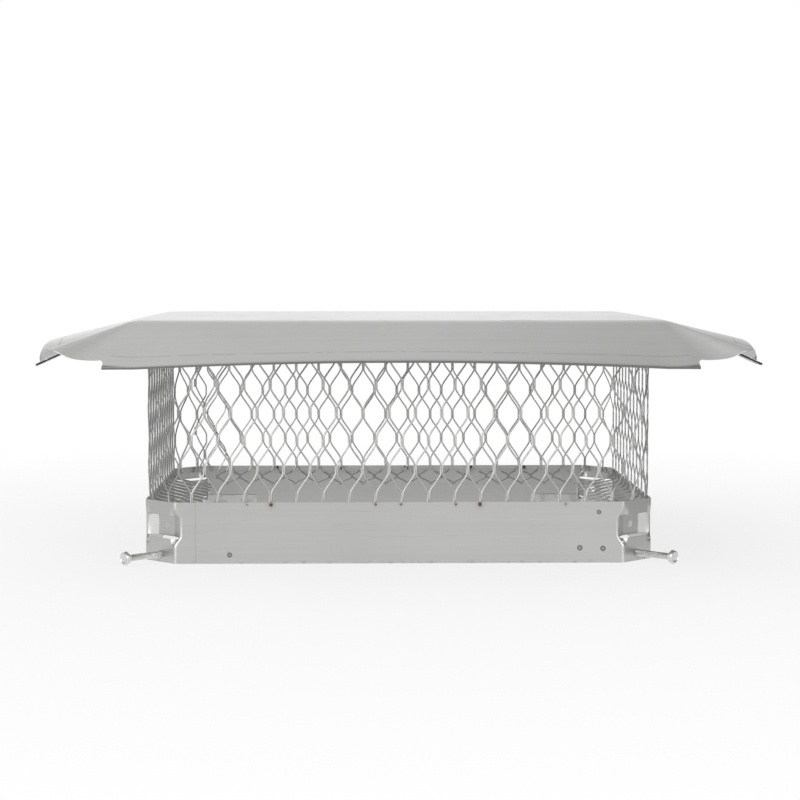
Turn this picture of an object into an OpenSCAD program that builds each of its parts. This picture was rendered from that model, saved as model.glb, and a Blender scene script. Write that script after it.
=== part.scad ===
// Chimney cap for a rectangular clay flue, in millimetres, +Z up.
// The origin is the middle of the band's lower edge. The front wall faces -Y.
// A folded lid sits on a cage of expanded metal, which stands in a sheet band
// that slips over the flue and is clamped to it by a bolt at each corner.

/* [Band] */
// Outside length of the band, along X
band_len = 462; // [430:1:500]
// Outside depth of the band, along Y
band_dep = 334; // [304:1:370]
// Height of the band
band_h = 55.5; // [53:0.5:70]
// Thickness of the band's sheet
band_t = 0.6; // [0.4:0.1:1]
// Leg of the chamfer at each corner of the band
chamfer = 29; // [26:0.5:34]
// Outside radius of the band's bends
band_r = 5; // [3:0.5:7]
// Distance of the lap seam from the middle of the front wall, to the left
seam_x = 183; // [140:1:188]
// Width of the line between the two ends at the seam
seam_gap = 0.4; // [0.2:0.1:1]
// Length of the sheet that runs on under the seam
lap_len = 24; // [10:1:30]

/* [Corner pockets] */
// Height of the window's lower edge
pocket_z = 22; // [20:0.5:25]
// Height of the window
pocket_h = 21; // [16:0.5:22]
// Depth to which the panel is pushed in
pocket_depth = 8; // [5:0.5:10]
// Width of the panel's flat
pocket_flat = 22; // [16:0.5:26]
// Length by which the cuts run past the chamfer's bends
pocket_run = 5; // [3:0.5:8]
// Height of the open slots below and above the panel
pocket_slot = 1.2; // [0.6:0.1:2]
// Diameter of the hole in the panel
pocket_hole = 6.4; // [4:0.1:8]

/* [Corner clamps] */
// Thickness of a corner bracket
bracket_t = 1.5; // [1:0.1:2.5]
// Height of a bracket's legs
bracket_h = 24.5; // [21:0.5:30]
// Space between a bracket's middle and the window above it
bracket_drop = 2.5; // [1:0.5:4]
// Length of the leg along a long wall
bracket_long = 57; // [30:1:70]
// Length of the leg along a short wall
bracket_short = 40; // [20:1:60]
// Height of a bolt's axis
bolt_z = 7; // [6.8:0.1:9]
// Diameter of a bolt's shank
bolt_d = 6; // [5:0.1:6.4]
// Length of a bolt under its head
bolt_len = 50.8; // [44:0.2:60]
// Distance of a bolt's head from the chamfer
bolt_out = 38; // [30:0.5:40]
// Size of a bolt's head across the flats
head_af = 11.1; // [9:0.1:12]
// Height of a bolt's head
head_h = 4; // [3:0.1:6]
// Size of a weld nut across the flats
nut_af = 11.1; // [9:0.1:12]
// Height of a weld nut
nut_h = 5.5; // [4:0.1:7]
// Clearance on the diameter of the bolt holes in band and bracket
hole_clear = 0.6; // [0.3:0.1:1]
// Clearance on the diameter between bolt and nut
thread_clear = 0.1; // [0.05:0.05:0.3]
// Space between sheets that are welded face to face
fit = 0.1; // [0.05:0.05:0.2]

/* [Screen] */
// Pitch of the diamonds along the wall
mesh_w = 23.45; // [20:0.05:30]
// Pitch of the diamonds up the wall
mesh_h = 50.8; // [44:0.1:60]
// Height of the lowest row of knots on the wall
knot_z = 59.7; // [56:0.1:70]
// Shift of the diamonds along the wall
mesh_shift = 2.3; // [0:0.1:12]
// Width of a strand
strand = 1.3; // [1:0.1:2]
// Width of the solid piece where strands meet
knot = 2.5; // [1.8:0.1:3.5]
// Length of the solid piece where strands meet
knot_len = 8; // [4:0.1:11]
// Thickness of the expanded metal
mesh_t = 1.2; // [0.8:0.1:1.5]
// Radius of the screen's corners
mesh_r = 30; // [20:1:34]
// Height of the fold between wall and lower flange
root_z = 49; // [46:0.5:54]
// Length of the lower flange
flange_len = 42; // [25:0.5:42]
// Slope of the lower flange
flange_slope = 13; // [8:0.5:18]
// Length of the upper flange
top_flange = 19; // [10:0.5:25]
// Distance of the flanges' ends from a wall's ends
tab_gap = 2; // [1:0.5:6]

/* [Lid] */
// Length of the flat top between its folds
top_len = 478; // [478:1:520]
// Depth of the flat top between its folds
top_dep = 360; // [360:1:400]
// Height of the whole cap
cap_h = 219.2; // [190:0.2:240]
// Thickness of the lid's sheet
lid_t = 0.6; // [0.5:0.1:1]
// Length of a side panel from its fold to its hem
panel = 90.3; // [80:0.1:100]
// Slope of a panel at its ends
slope_end = 24.7; // [22:0.1:27]
// Slope of a panel in its middle
slope_mid = 20.8; // [18:0.1:24]
// Width of the soft fold between top and panels
fold_w = 18; // [10:0.5:20]
// Radius of the flat top's corners
top_r = 4; // [2:0.5:6]
// Width of the hems at front and back
hem_w = 18.5; // [12:0.5:26]
// Width of the hems at the two ends
end_hem_w = 25; // [12:0.5:30]
// Space inside a hem
hem_gap = 1.2; // [0.6:0.1:2]
// Length by which a hem runs past the end of the fold
hem_past = 15; // [8:0.5:20]
// Distance of a corner's edge behind the hems
setback = 14.7; // [8:0.1:18]
// Radius of a corner's edge in the flat sheet
corner_r = 39; // [25:0.5:45]
// Radius where a hem's end meets the corner's edge
notch_r = 4; // [2:0.5:6]
// Angle between a panel's middle line and the crease beside it
crease = 27.7; // [25:0.1:30]

/* [Hidden] */

// Overlap that keeps a cut clear of the face it starts from
eps = 0.01;
// Colours of the metal
sheet_colour = [0.78, 0.78, 0.77];
mesh_colour = [0.62, 0.62, 0.61];
bolt_colour = [0.70, 0.70, 0.69];
// A chamfer moved inwards by 1 loses this much of its leg
leg_loss = 2 - sqrt(2);
// Steps of one bend in the band and in the screen
band_steps = 5;
mesh_steps = 4;
// Flat sheet between a pocket and the end of the wall beside it
wall_end = 3;
// How far a cut runs past the screen's wall, and below its lower fold
cut_past = 2;
fold_cut = -0.2;
// Height of the rounding at the screen's upper fold
fold_drop = 1;
// Half length and half depth of the band
half_x = band_len / 2;
half_y = band_dep / 2;
// Middle of a chamfer, from the origin
mid_x = half_x - chamfer / 2;
mid_y = half_y - chamfer / 2;
// Distances inwards from the band's outside
bracket_in = band_t + fit;
nut_in = bracket_in + bracket_t + fit;
mesh_in = 2 * band_t + 2 * fit;
// Middle part of a bracket, below the window
bracket_mid_h = pocket_z - bracket_drop;
// Half lengths of the band's walls between its corners
wall_x = half_x - chamfer - pocket_run - wall_end;
wall_y = half_y - chamfer - pocket_run - wall_end;
// Bolt holes
bolt_hole = bolt_d + hole_clear;
nut_bore = bolt_d + thread_clear;

function unit(v) = v / norm(v);
function wrap(a) = a > 180 ? a - 360 : a < -180 ? a + 360 : a;

// Points of one bend: an arc of radius r that touches the lines a-b and b-c
function bend(a, b, c, r, n) =
  let (
    u = unit(a - b),
    v = unit(c - b),
    half = acos(u * v) / 2,
    middle = b + unit(u + v) * r / sin(half),
    from = b + u * r / tan(half) - middle,
    to = b + v * r / tan(half) - middle,
    start = atan2(from.y, from.x),
    turn = wrap(atan2(to.y, to.x) - start)
  )
  [for (k = [0:n]) middle + r * [cos(start + turn * k / n), sin(start + turn * k / n)]];

// Closed outline with every corner bent to radius r
function rounded(p, r, n) =
  [for (i = [0:len(p) - 1]) each bend(p[(i + len(p) - 1) % len(p)], p[i], p[(i + 1) % len(p)], r, n)];

// Chamfered rectangle of the band, moved inwards by d, from the front wall anticlockwise
function ring(d) =
  let (x = half_x - d, y = half_y - d, c = chamfer - leg_loss * d)
  [
    [-x + c, -y], [x - c, -y], [x, -y + c], [x, y - c],
    [x - c, y], [-x + c, y], [-x, y - c], [-x, -y + c]
  ];

// Turns a child drawn at the front left chamfer's middle to corner number i:
// X runs along the chamfer, Y runs inwards
module at_corner(i) {
  sx = [-1, 1, -1, 1][i];
  sy = [-1, -1, 1, 1][i];
  turn = [-45, 45, -135, 135][i];
  translate([sx * mid_x, sy * mid_y, 0])
    rotate([0, 0, turn])
      children();
}

module band_outline(d) {
  polygon(rounded(ring(d), band_r - d, band_steps));
}

// Panel of a pocket, pushed in between two lance cuts, in the chamfer's own frame
pocket_side = chamfer / sqrt(2);
pocket_end = [pocket_side + pocket_run / sqrt(2), pocket_run / sqrt(2)];
pocket_mid = [pocket_flat / 2, pocket_depth];
module pocket_panel() {
  lift = [0, band_t];
  linear_extrude(pocket_h - 2 * pocket_slot)
    polygon([
      pocket_end, pocket_mid, [-pocket_mid.x, pocket_mid.y], [-pocket_end.x, pocket_end.y],
      [-pocket_end.x, pocket_end.y] + lift, [-pocket_mid.x, pocket_mid.y] + lift,
      pocket_mid + lift, pocket_end + lift
    ]);
}

module pocket_window() {
  reach = pocket_end.x;
  linear_extrude(pocket_h)
    polygon([
      [reach, pocket_end.y + 2 * band_t], [reach, -band_t],
      [-reach, -band_t], [-reach, pocket_end.y + 2 * band_t]
    ]);
}

module band_wall() {
  lap_from = -seam_x - band_r;
  difference() {
    union() {
      linear_extrude(band_h)
        difference() {
          band_outline(0);
          band_outline(band_t);
        }
      translate([lap_from, -half_y + band_t - eps, 0])
        cube([band_r + lap_len, band_t + eps, band_h]);
    }
    translate([-seam_x - seam_gap, -half_y - eps, -eps])
      cube([seam_gap, band_t + 2 * eps, band_h + 2 * eps]);
  }
}

// The band is one sheet. It is drawn as four walls and four corners that meet face to face, so that
// each stays simple. Wall k faces -Y, +X, +Y or -X.
module band_side(k) {
  along = k % 2 == 0 ? wall_x : wall_y;
  away = k % 2 == 0 ? half_y : half_x;
  color(sheet_colour)
    intersection() {
      band_wall();
      rotate([0, 0, 90 * k])
        translate([-along, -away - 1, -1])
          cube([2 * along, chamfer, band_h + 2]);
    }
}

module band_corner(i) {
  sx = [0, 1, 0, 1][i];
  sy = [0, 0, 1, 1][i];
  color(sheet_colour)
    difference() {
      union() {
        difference() {
          intersection() {
            band_wall();
            mirror([0, sy, 0])
              mirror([sx, 0, 0])
                translate([-half_x - 1, -half_y - 1, -1])
                  cube([half_x + 1 - wall_x, half_y + 1 - wall_y, band_h + 2]);
          }
          at_corner(i) translate([0, 0, pocket_z]) pocket_window();
        }
        at_corner(i) translate([0, 0, pocket_z + pocket_slot]) pocket_panel();
      }
      at_corner(i) {
        translate([0, pocket_depth - band_t, pocket_z + pocket_h / 2])
          rotate([-90, 0, 0]) cylinder(d = pocket_hole, h = 3 * band_t, $fn = 32);
        translate([0, -band_t, bolt_z])
          rotate([-90, 0, 0]) cylinder(d = bolt_hole, h = 3 * band_t, $fn = 32);
      }
    }
}

// Bracket strip at corner i, cut from the ring inside the band
module bracket_strip(reach_x, reach_y, h) {
  intersection() {
    linear_extrude(h)
      difference() {
        band_outline(bracket_in);
        band_outline(bracket_in + bracket_t);
      }
    translate([-half_x, -half_y, 0])
      cube([chamfer + reach_x, chamfer + reach_y, h]);
  }
}

module corner_bracket(i) {
  sx = [0, 1, 0, 1][i];
  sy = [0, 0, 1, 1][i];
  color(mesh_colour)
    difference() {
      mirror([0, sy, 0])
        mirror([sx, 0, 0])
          difference() {
            bracket_strip(bracket_long, bracket_short, bracket_h);
            translate([-half_x, -half_y, bracket_mid_h])
              cube([chamfer + pocket_run, chamfer + pocket_run, bracket_h]);
          }
      at_corner(i)
        translate([0, bracket_in - eps, bolt_z])
          rotate([-90, 0, 0]) cylinder(d = bolt_hole, h = bracket_t + 2 * eps, $fn = 32);
      if (i == 0)
        translate([-half_x, -half_y, -eps])
          cube([half_x - seam_x + lap_len + fit, 2 * band_t + fit, bracket_h + 1]);
    }
}

module weld_nut(i) {
  color(bolt_colour)
    at_corner(i)
      translate([0, nut_in, bolt_z])
        rotate([-90, 0, 0])
          difference() {
            rotate([0, 0, 30]) cylinder(d = nut_af / cos(30), h = nut_h, $fn = 6);
            translate([0, 0, -eps]) cylinder(d = nut_bore, h = nut_h + 2 * eps, $fn = 32);
          }
}

module bolt(i) {
  tip = 1;
  color(bolt_colour)
    at_corner(i)
      translate([0, -bolt_out, bolt_z])
        rotate([-90, 0, 0]) {
          cylinder(d = bolt_d, h = bolt_len - tip, $fn = 32);
          translate([0, 0, bolt_len - tip])
            cylinder(d1 = bolt_d, d2 = bolt_d - 2 * tip, h = tip, $fn = 32);
          translate([0, 0, -head_h])
            intersection() {
              rotate([0, 0, 30]) cylinder(d = head_af / cos(30), h = head_h + eps, $fn = 6);
              cylinder(d1 = head_af * 0.94, d2 = head_af * 2, h = head_h + eps, $fn = 32);
            }
        }
}

// Screen: a strip with diamond openings, wrapped round the outline and folded in at both edges.
// Along the strip is s, from the middle of the front wall. Up the strip is v, from the lower fold.
mesh_bends = rounded(ring(mesh_in), mesh_r, mesh_steps);
mesh_count = len(mesh_bends);
// The outline, from the left end of the front wall, with the length of strip to each point
mesh_ring = [for (i = [0:mesh_count - 1]) mesh_bends[(i + mesh_steps) % mesh_count]];
function facet_len(i) = norm(mesh_ring[(i + 1) % mesh_count] - mesh_ring[i]);
facet_s = [for (i = 0, s = -facet_len(0) / 2; i < mesh_count; s = s + facet_len(i), i = i + 1) s];
ring_len = facet_s[mesh_count - 1] + facet_len(mesh_count - 1) - facet_s[0];
columns = round(ring_len / mesh_w);
// The pitch that closes the strip on itself
pitch = ring_len / columns;
row_h = mesh_h / 2;
first_row = knot_z - root_z;
lid_under = cap_h - lid_t - fit;
wall_v = lid_under - root_z;
rows_up = ceil(wall_v / row_h);

// Half opening: beside the knots it is upright, then its sides run along the strands to a tip
reach = (pitch - knot) / 2;
fall = row_h - knot_len;
tip = row_h - knot_len / 2 - strand / 2 * norm([pitch / 2, fall]) / (pitch / 2);
rise = tip - reach * fall / (pitch / 2);
diamond = [[reach, rise], [0, tip], [-reach, rise], [-reach, -rise], [0, -tip], [reach, -rise]];

// Outline p cut off level at the height low
function above(p, low) = [
  for (i = [0:len(p) - 1])
    let (a = p[i], b = p[(i + 1) % len(p)])
    each concat(
      a.y > low ? [a] : [],
      (a.y > low) != (b.y > low) ? [a + (b - a) * (low - a.y) / (b.y - a.y)] : []
    )
];

// Place on the outline after a length of strip, and the direction of the wall there
function turn_s(s) = s < facet_s[0] ? s + ring_len : s >= facet_s[0] + ring_len ? s - ring_len : s;
function at_s(s) =
  let (
    w = turn_s(s),
    i = max([for (k = [0:mesh_count - 1]) if (facet_s[k] <= w) k]),
    a = mesh_ring[i],
    b = mesh_ring[(i + 1) % mesh_count]
  )
  a + (b - a) * (w - facet_s[i]) / facet_len(i);
function dir_s(s) = unit(at_s(s + reach) - at_s(s - reach));
function row_v(r) = first_row + r * row_h;
function column_s(r, c) = mesh_shift + (c + (r % 2 == 0 ? 0.5 : 0)) * pitch;

// Cut through the wall for the opening in row r and column c, square to the wall at its middle
module wall_cut(r, c) {
  s = column_s(r, c);
  here = at_s(s);
  d = dir_s(s);
  translate([here.x, here.y, root_z + row_v(r)])
    rotate([0, 0, atan2(d.y, d.x)])
      translate([0, mesh_t + cut_past, 0])
        rotate([90, 0, 0])
          linear_extrude(mesh_t + 2 * cut_past)
            polygon([
              for (p = above(diamond, fold_cut - row_v(r)))
                [(at_s(s + p.x) - here) * d, p.y]
            ]);
}

// Outline of the cuts through a flange that is l long, for some rows. The fold is at v_fold of the
// strip, and the outline keeps to a range of distances from it.
module flange_cuts(l, rows, s0, v_fold, span) {
  first = floor((s0 - l / 2 - mesh_shift) / pitch) - 1;
  last = ceil((s0 + l / 2 - mesh_shift) / pitch);
  intersection() {
    translate([-l / 2 - 1, span[0]]) square([l + 2, span[1] - span[0]]);
    for (r = rows)
      for (c = [first:last])
        translate([column_s(r, c) - s0, row_v(r) - v_fold]) polygon(diamond);
  }
}

// Wall number k of the screen: its middle on the outline, its direction and its length
function wall_facet(k) = k * (2 * mesh_steps + 2);
module at_wall(k) {
  a = mesh_ring[wall_facet(k)];
  b = mesh_ring[wall_facet(k) + 1];
  translate([(a.x + b.x) / 2, (a.y + b.y) / 2, 0])
    rotate([0, 0, 90 * k])
      children();
}

// A folded flange: its profile, inwards and upwards from the fold, run along the wall
module flange_bar(l, profile) {
  translate([-l / 2, 0, 0])
    rotate([90, 0, 90])
      linear_extrude(l) polygon(profile);
}

// Lower flange: it slopes inwards from the lower fold
module lower_flange(l, s0) {
  low = [cos(flange_slope), -sin(flange_slope)];
  up = [sin(flange_slope), cos(flange_slope)] * mesh_t;
  inner = mesh_t / 2;
  difference() {
    flange_bar(l, [
      [0, 0], low * flange_len, low * flange_len + up,
      [inner, mesh_t / cos(flange_slope) - inner * tan(flange_slope)]
    ]);
    rotate([-flange_slope, 0, 0])
      translate([0, 0, -cut_past])
        linear_extrude(mesh_t + 2 * cut_past)
          mirror([0, 1])
            flange_cuts(l, [-2:0], s0, mesh_t, [-flange_len - 1, 0]);
  }
}

// Upper flange: it lies level under the lid
module upper_flange(l, s0) {
  inner = mesh_t / 2;
  difference() {
    flange_bar(l, [
      [0, -fold_drop], [fold_drop, 0], [top_flange, 0], [top_flange, -mesh_t],
      [mesh_t, -mesh_t], [inner, -mesh_t - inner]
    ]);
    translate([0, 0, -mesh_t - cut_past])
      linear_extrude(mesh_t + 2 * cut_past)
        flange_cuts(l, [rows_up - 1 : rows_up + 1], s0, wall_v - mesh_t, [0, top_flange + 1]);
  }
}

module screen_flanges(k) {
  facet = wall_facet(k);
  l = facet_len(facet) - 2 * tab_gap;
  s0 = facet_s[facet] + facet_len(facet) / 2;
  at_wall(k) {
    translate([0, 0, root_z]) lower_flange(l, s0);
    translate([0, 0, lid_under]) upper_flange(l, s0);
  }
}

module screen_wall() {
  difference() {
    linear_extrude(lid_under - fold_drop - root_z)
      difference() {
        polygon(mesh_ring);
        polygon(rounded(ring(mesh_in + mesh_t), mesh_r - mesh_t, mesh_steps));
      }
    translate([0, 0, -root_z])
      for (r = [-1:rows_up])
        for (c = [0:columns - 1]) wall_cut(r, c);
  }
}

module screen() {
  color(mesh_colour) {
    translate([0, 0, root_z]) screen_wall();
    for (k = [0:3]) screen_flanges(k);
  }
}

// Lid: one sheet, drawn as stations round the flat top. Each station has a start on the flat top's
// edge, a unit direction down the sheet, and the length of sheet to its edge.
lid_x = top_len / 2 - fold_w / 2 - top_r;
lid_y = top_dep / 2 - fold_w / 2 - top_r;
start_gap = fold_w / 2 + top_r;
hem_r = lid_t + hem_gap / 2;
hem_run = panel + start_gap - hem_r;
edge_run = panel + start_gap - setback;
past = hem_past + start_gap;
arc_c = edge_run - corner_r;
panel_steps = 12;
arc_steps = 5;
fold_steps = 5;

// Half of a corner's edge in the flat sheet, from the hem to the diagonal
half_edge = [
  [hem_run, past / 3],
  [hem_run, past * 2 / 3],
  [hem_run, past],
  [edge_run + notch_r, past],
  [edge_run + notch_r * (1 - sin(45)), past + notch_r * (1 - cos(45))],
  [edge_run, past + notch_r],
  [edge_run, (past + notch_r + arc_c) / 2],
  for (k = [0:arc_steps]) [arc_c, arc_c] + corner_r * [cos(45 * k / arc_steps), sin(45 * k / arc_steps)]
];
hem_side = 3;
corner_edge = [
  each half_edge,
  for (k = [len(half_edge) - 2 : -1 : 0]) [half_edge[k].y, half_edge[k].x]
];

// Direction of the sheet at angle a from a panel's own direction, in the flat sheet: the panel's
// plane up to the crease, then a plane that rises to the ridge on the diagonal
crease_dir = [cos(slope_end) * cos(crease), sin(crease), -sin(slope_end) * cos(crease)];
ridge_flat = (crease_dir.x + crease_dir.y) / sqrt(2);
ridge_slope = atan2(-crease_dir.z, ridge_flat) - acos(cos(45 - crease) / norm([crease_dir.z, ridge_flat]));
ridge_dir = [cos(ridge_slope) / sqrt(2), cos(ridge_slope) / sqrt(2), -sin(ridge_slope)];
function sharp_dir(a) =
  a > 45 ? let (d = sharp_dir(90 - a)) [d.y, d.x, d.z] :
  a <= crease ? [cos(slope_end) * cos(a), sin(a), -sin(slope_end) * cos(a)] :
  (sin(45 - a) * crease_dir + sin(a - crease) * ridge_dir) / sin(45 - crease);
// The same with creases and ridge rounded
function soft_dir(a) = unit(sharp_dir(a - 6) + sharp_dir(a - 3) + sharp_dir(a) + sharp_dir(a + 3) + sharp_dir(a + 6));

// Turns a direction or a point by side k of the lid
function spin(p, k) = [
  [p.x, p.y, p.z], [-p.y, p.x, p.z], [-p.x, -p.y, p.z], [p.y, -p.x, p.z]
][k];
function slope_at(q) = slope_mid + (slope_end - slope_mid) * q * q;

// Stations: [start, direction, length of sheet]
stations = [
  for (k = [0:3])
    let (out = k % 2 == 0 ? lid_x : lid_y, half = k % 2 == 0 ? lid_y : lid_x) each [
      for (j = [0:panel_steps])
        let (q = 2 * j / panel_steps - 1, b = slope_at(q))
        [spin([out, q * half, 0], k), spin([cos(b), 0, -sin(b)], k), hem_run],
      for (e = corner_edge)
        [spin([out, half, 0], k), spin(soft_dir(atan2(e.y, e.x)), k), norm(e)]
    ]
];
side_count = panel_steps + 1 + len(corner_edge);
count = len(stations);

// Point of station s after a length of sheet
function lid_point(s, run) =
  let (
    d = stations[s][1],
    bent = max(run - top_r, 0),
    down = bent < fold_w ? bent * bent / (2 * fold_w) : bent - fold_w / 2,
    level = norm([d.x, d.y]),
    flat = run - down + down * level
  )
  stations[s][0] + [d.x / level * flat, d.y / level * flat, cap_h + d.z * down];

// Lengths of sheet of the rings, from the flat top to the edge
function ring_run(s, r) = r <= fold_steps ? top_r + fold_w * r / fold_steps : stations[s][2];
ring_count = fold_steps + 2;
top_points = [for (r = [0:ring_count - 1]) for (s = [0:count - 1]) lid_point(s, ring_run(s, r))];
under_points = [for (p = top_points) p - [0, 0, lid_t]];

// Section of a hem: outwards and upwards from the last point of the sheet's upper side
hem_bend = [45, 90, 135, 180];
function hem_section(w) = [
  for (a = hem_bend) [hem_r * sin(a), hem_r * cos(a) - hem_r],
  [-w, -2 * hem_r],
  [-w, -2 * hem_r + lid_t],
  for (k = [3:-1:0]) [(hem_r - lid_t) * sin(hem_bend[k]), (hem_r - lid_t) * cos(hem_bend[k]) - hem_r]
];
hem_points_each = len(hem_section(1));
// Stations of side k's hem, past the panel at both ends
function hem_station(k, j) = (k * side_count - hem_side + j + count) % count;
hem_stations = panel_steps + 1 + 2 * hem_side;
function hem_slope(j) = slope_at(max(-1, min(1, 2 * (j - hem_side) / panel_steps - 1)));
hem_points = [
  for (k = [0:3])
    for (j = [0:hem_stations - 1])
      let (
        b = hem_slope(j),
        out = spin([cos(b), 0, -sin(b)], k),
        up = spin([sin(b), 0, cos(b)], k),
        from = lid_point(hem_station(k, j), stations[hem_station(k, j)][2])
      )
      for (h = hem_section(k % 2 == 0 ? end_hem_w : hem_w)) from + h.x * out + h.y * up
];

// Numbers of points
function top_i(r, s) = r * count + s % count;
function under_i(r, s) = ring_count * count + top_i(r, s);
function hem_i(k, j, h) =
  h == 0 ? top_i(ring_count - 1, hem_station(k, j)) :
  h > hem_points_each ? under_i(ring_count - 1, hem_station(k, j)) :
  2 * ring_count * count + (k * hem_stations + j) * hem_points_each + h - 1;
middle_i = 2 * ring_count * count + 4 * hem_stations * hem_points_each;
function in_hem(s) = let (j = (s + hem_side) % side_count) j < hem_stations - 1;
function quad(a, b, c, d) = [[a, b, c], [a, c, d]];

// Other side of the sheet from point h of a hem's section
function hem_back(h) = hem_points_each + 1 - h;

lid_faces = [
  for (s = [0:count - 1]) each [
    [top_i(0, s + 1), top_i(0, s), middle_i],
    [under_i(0, s), under_i(0, s + 1), middle_i + 1]
  ],
  for (r = [0:ring_count - 2])
    for (s = [0:count - 1]) each [
      each quad(top_i(r, s), top_i(r, s + 1), top_i(r + 1, s + 1), top_i(r + 1, s)),
      each quad(under_i(r + 1, s), under_i(r + 1, s + 1), under_i(r, s + 1), under_i(r, s))
    ],
  for (s = [0:count - 1])
    if (!in_hem(s))
      each quad(
        top_i(ring_count - 1, s), top_i(ring_count - 1, s + 1),
        under_i(ring_count - 1, s + 1), under_i(ring_count - 1, s)
      ),
  for (k = [0:3])
    for (j = [0:hem_stations - 2])
      for (h = [0:hem_points_each])
        each quad(hem_i(k, j, h), hem_i(k, j + 1, h), hem_i(k, j + 1, h + 1), hem_i(k, j, h + 1)),
  for (k = [0:3])
    for (h = [0:hem_points_each / 2 - 1])
      let (j = hem_stations - 1) each [
        each quad(hem_i(k, 0, h), hem_i(k, 0, h + 1), hem_i(k, 0, hem_back(h + 1)), hem_i(k, 0, hem_back(h))),
        each quad(hem_i(k, j, hem_back(h)), hem_i(k, j, hem_back(h + 1)), hem_i(k, j, h + 1), hem_i(k, j, h))
      ]
];

module lid() {
  middles = [[0, 0, cap_h], [0, 0, cap_h - lid_t]];
  color(sheet_colour)
    polyhedron(
      points = [each top_points, each under_points, each hem_points, each middles],
      faces = lid_faces
    );
}

lid();
band_side(0);  // band_front
band_side(1);  // band_right
band_side(2);  // band_back
band_side(3);  // band_left
band_corner(0);  // band_corner_fl
band_corner(1);  // band_corner_fr
band_corner(2);  // band_corner_bl
band_corner(3);  // band_corner_br
screen();
corner_bracket(0);  // corner_bracket_fl
corner_bracket(1);  // corner_bracket_fr
corner_bracket(2);  // corner_bracket_bl
corner_bracket(3);  // corner_bracket_br
weld_nut(0);  // weld_nut_fl
weld_nut(1);  // weld_nut_fr
weld_nut(2);  // weld_nut_bl
weld_nut(3);  // weld_nut_br
bolt(0);  // bolt_fl
bolt(1);  // bolt_fr
bolt(2);  // bolt_bl
bolt(3);  // bolt_br
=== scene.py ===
"""Chimney cap: folded lid, expanded metal screen, clamp band and bolts, with their finishes."""

import math
import random

import bpy
import numpy as np
from bpy.props import FloatProperty, FloatVectorProperty, IntProperty, PointerProperty
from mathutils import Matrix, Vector

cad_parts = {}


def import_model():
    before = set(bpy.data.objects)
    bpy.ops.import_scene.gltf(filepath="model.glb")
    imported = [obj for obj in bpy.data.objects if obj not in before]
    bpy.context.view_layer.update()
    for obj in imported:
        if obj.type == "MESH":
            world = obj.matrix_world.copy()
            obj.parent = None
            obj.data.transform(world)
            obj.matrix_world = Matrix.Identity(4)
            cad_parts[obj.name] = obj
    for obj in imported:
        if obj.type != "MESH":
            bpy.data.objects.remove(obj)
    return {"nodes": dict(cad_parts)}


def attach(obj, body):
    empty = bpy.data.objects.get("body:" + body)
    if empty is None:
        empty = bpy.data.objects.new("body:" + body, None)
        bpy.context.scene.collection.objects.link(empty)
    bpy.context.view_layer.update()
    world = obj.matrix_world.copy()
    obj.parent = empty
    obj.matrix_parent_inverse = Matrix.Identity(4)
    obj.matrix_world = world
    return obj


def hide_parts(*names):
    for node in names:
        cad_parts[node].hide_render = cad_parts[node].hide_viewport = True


bl_info = {
    "name": "Chimney cap",
    "version": (1, 0, 0),
    "blender": (4, 5, 0),
    "location": "View3D > Sidebar > Chimney cap",
    "description": "Builds the lid, the screen, the band and the bolts of a chimney cap",
    "category": "Object",
}

CORNERS = {"fl": (-1, -1), "fr": (1, -1), "bl": (-1, 1), "br": (1, 1)}
BAND_NODES = [f"band_{side}" for side in ("front", "right", "back", "left")] + [
    f"band_corner_{name}" for name in CORNERS
]
CORNER_TURN = {"fl": -45, "fr": 45, "bl": -135, "br": 135}


def length(name, millimetres, about):
    """A size in the sidebar, written here in millimetres."""
    return FloatProperty(
        name=name, description=about, default=millimetres / 1000,
        unit="LENGTH", subtype="DISTANCE", precision=5,
    )


def angle(name, degrees, about):
    """An angle in the sidebar, written here in degrees."""
    return FloatProperty(
        name=name, description=about, default=math.radians(degrees),
        unit="ROTATION", subtype="ANGLE",
    )


def share(name, value, about):
    """A plain factor in the sidebar."""
    return FloatProperty(name=name, description=about, default=value, min=0, max=1)


def colour(name, value, about):
    """A colour in the sidebar, as linear red, green and blue."""
    return FloatVectorProperty(
        name=name, description=about, default=value, size=3, subtype="COLOR", min=0, max=1
    )


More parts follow.
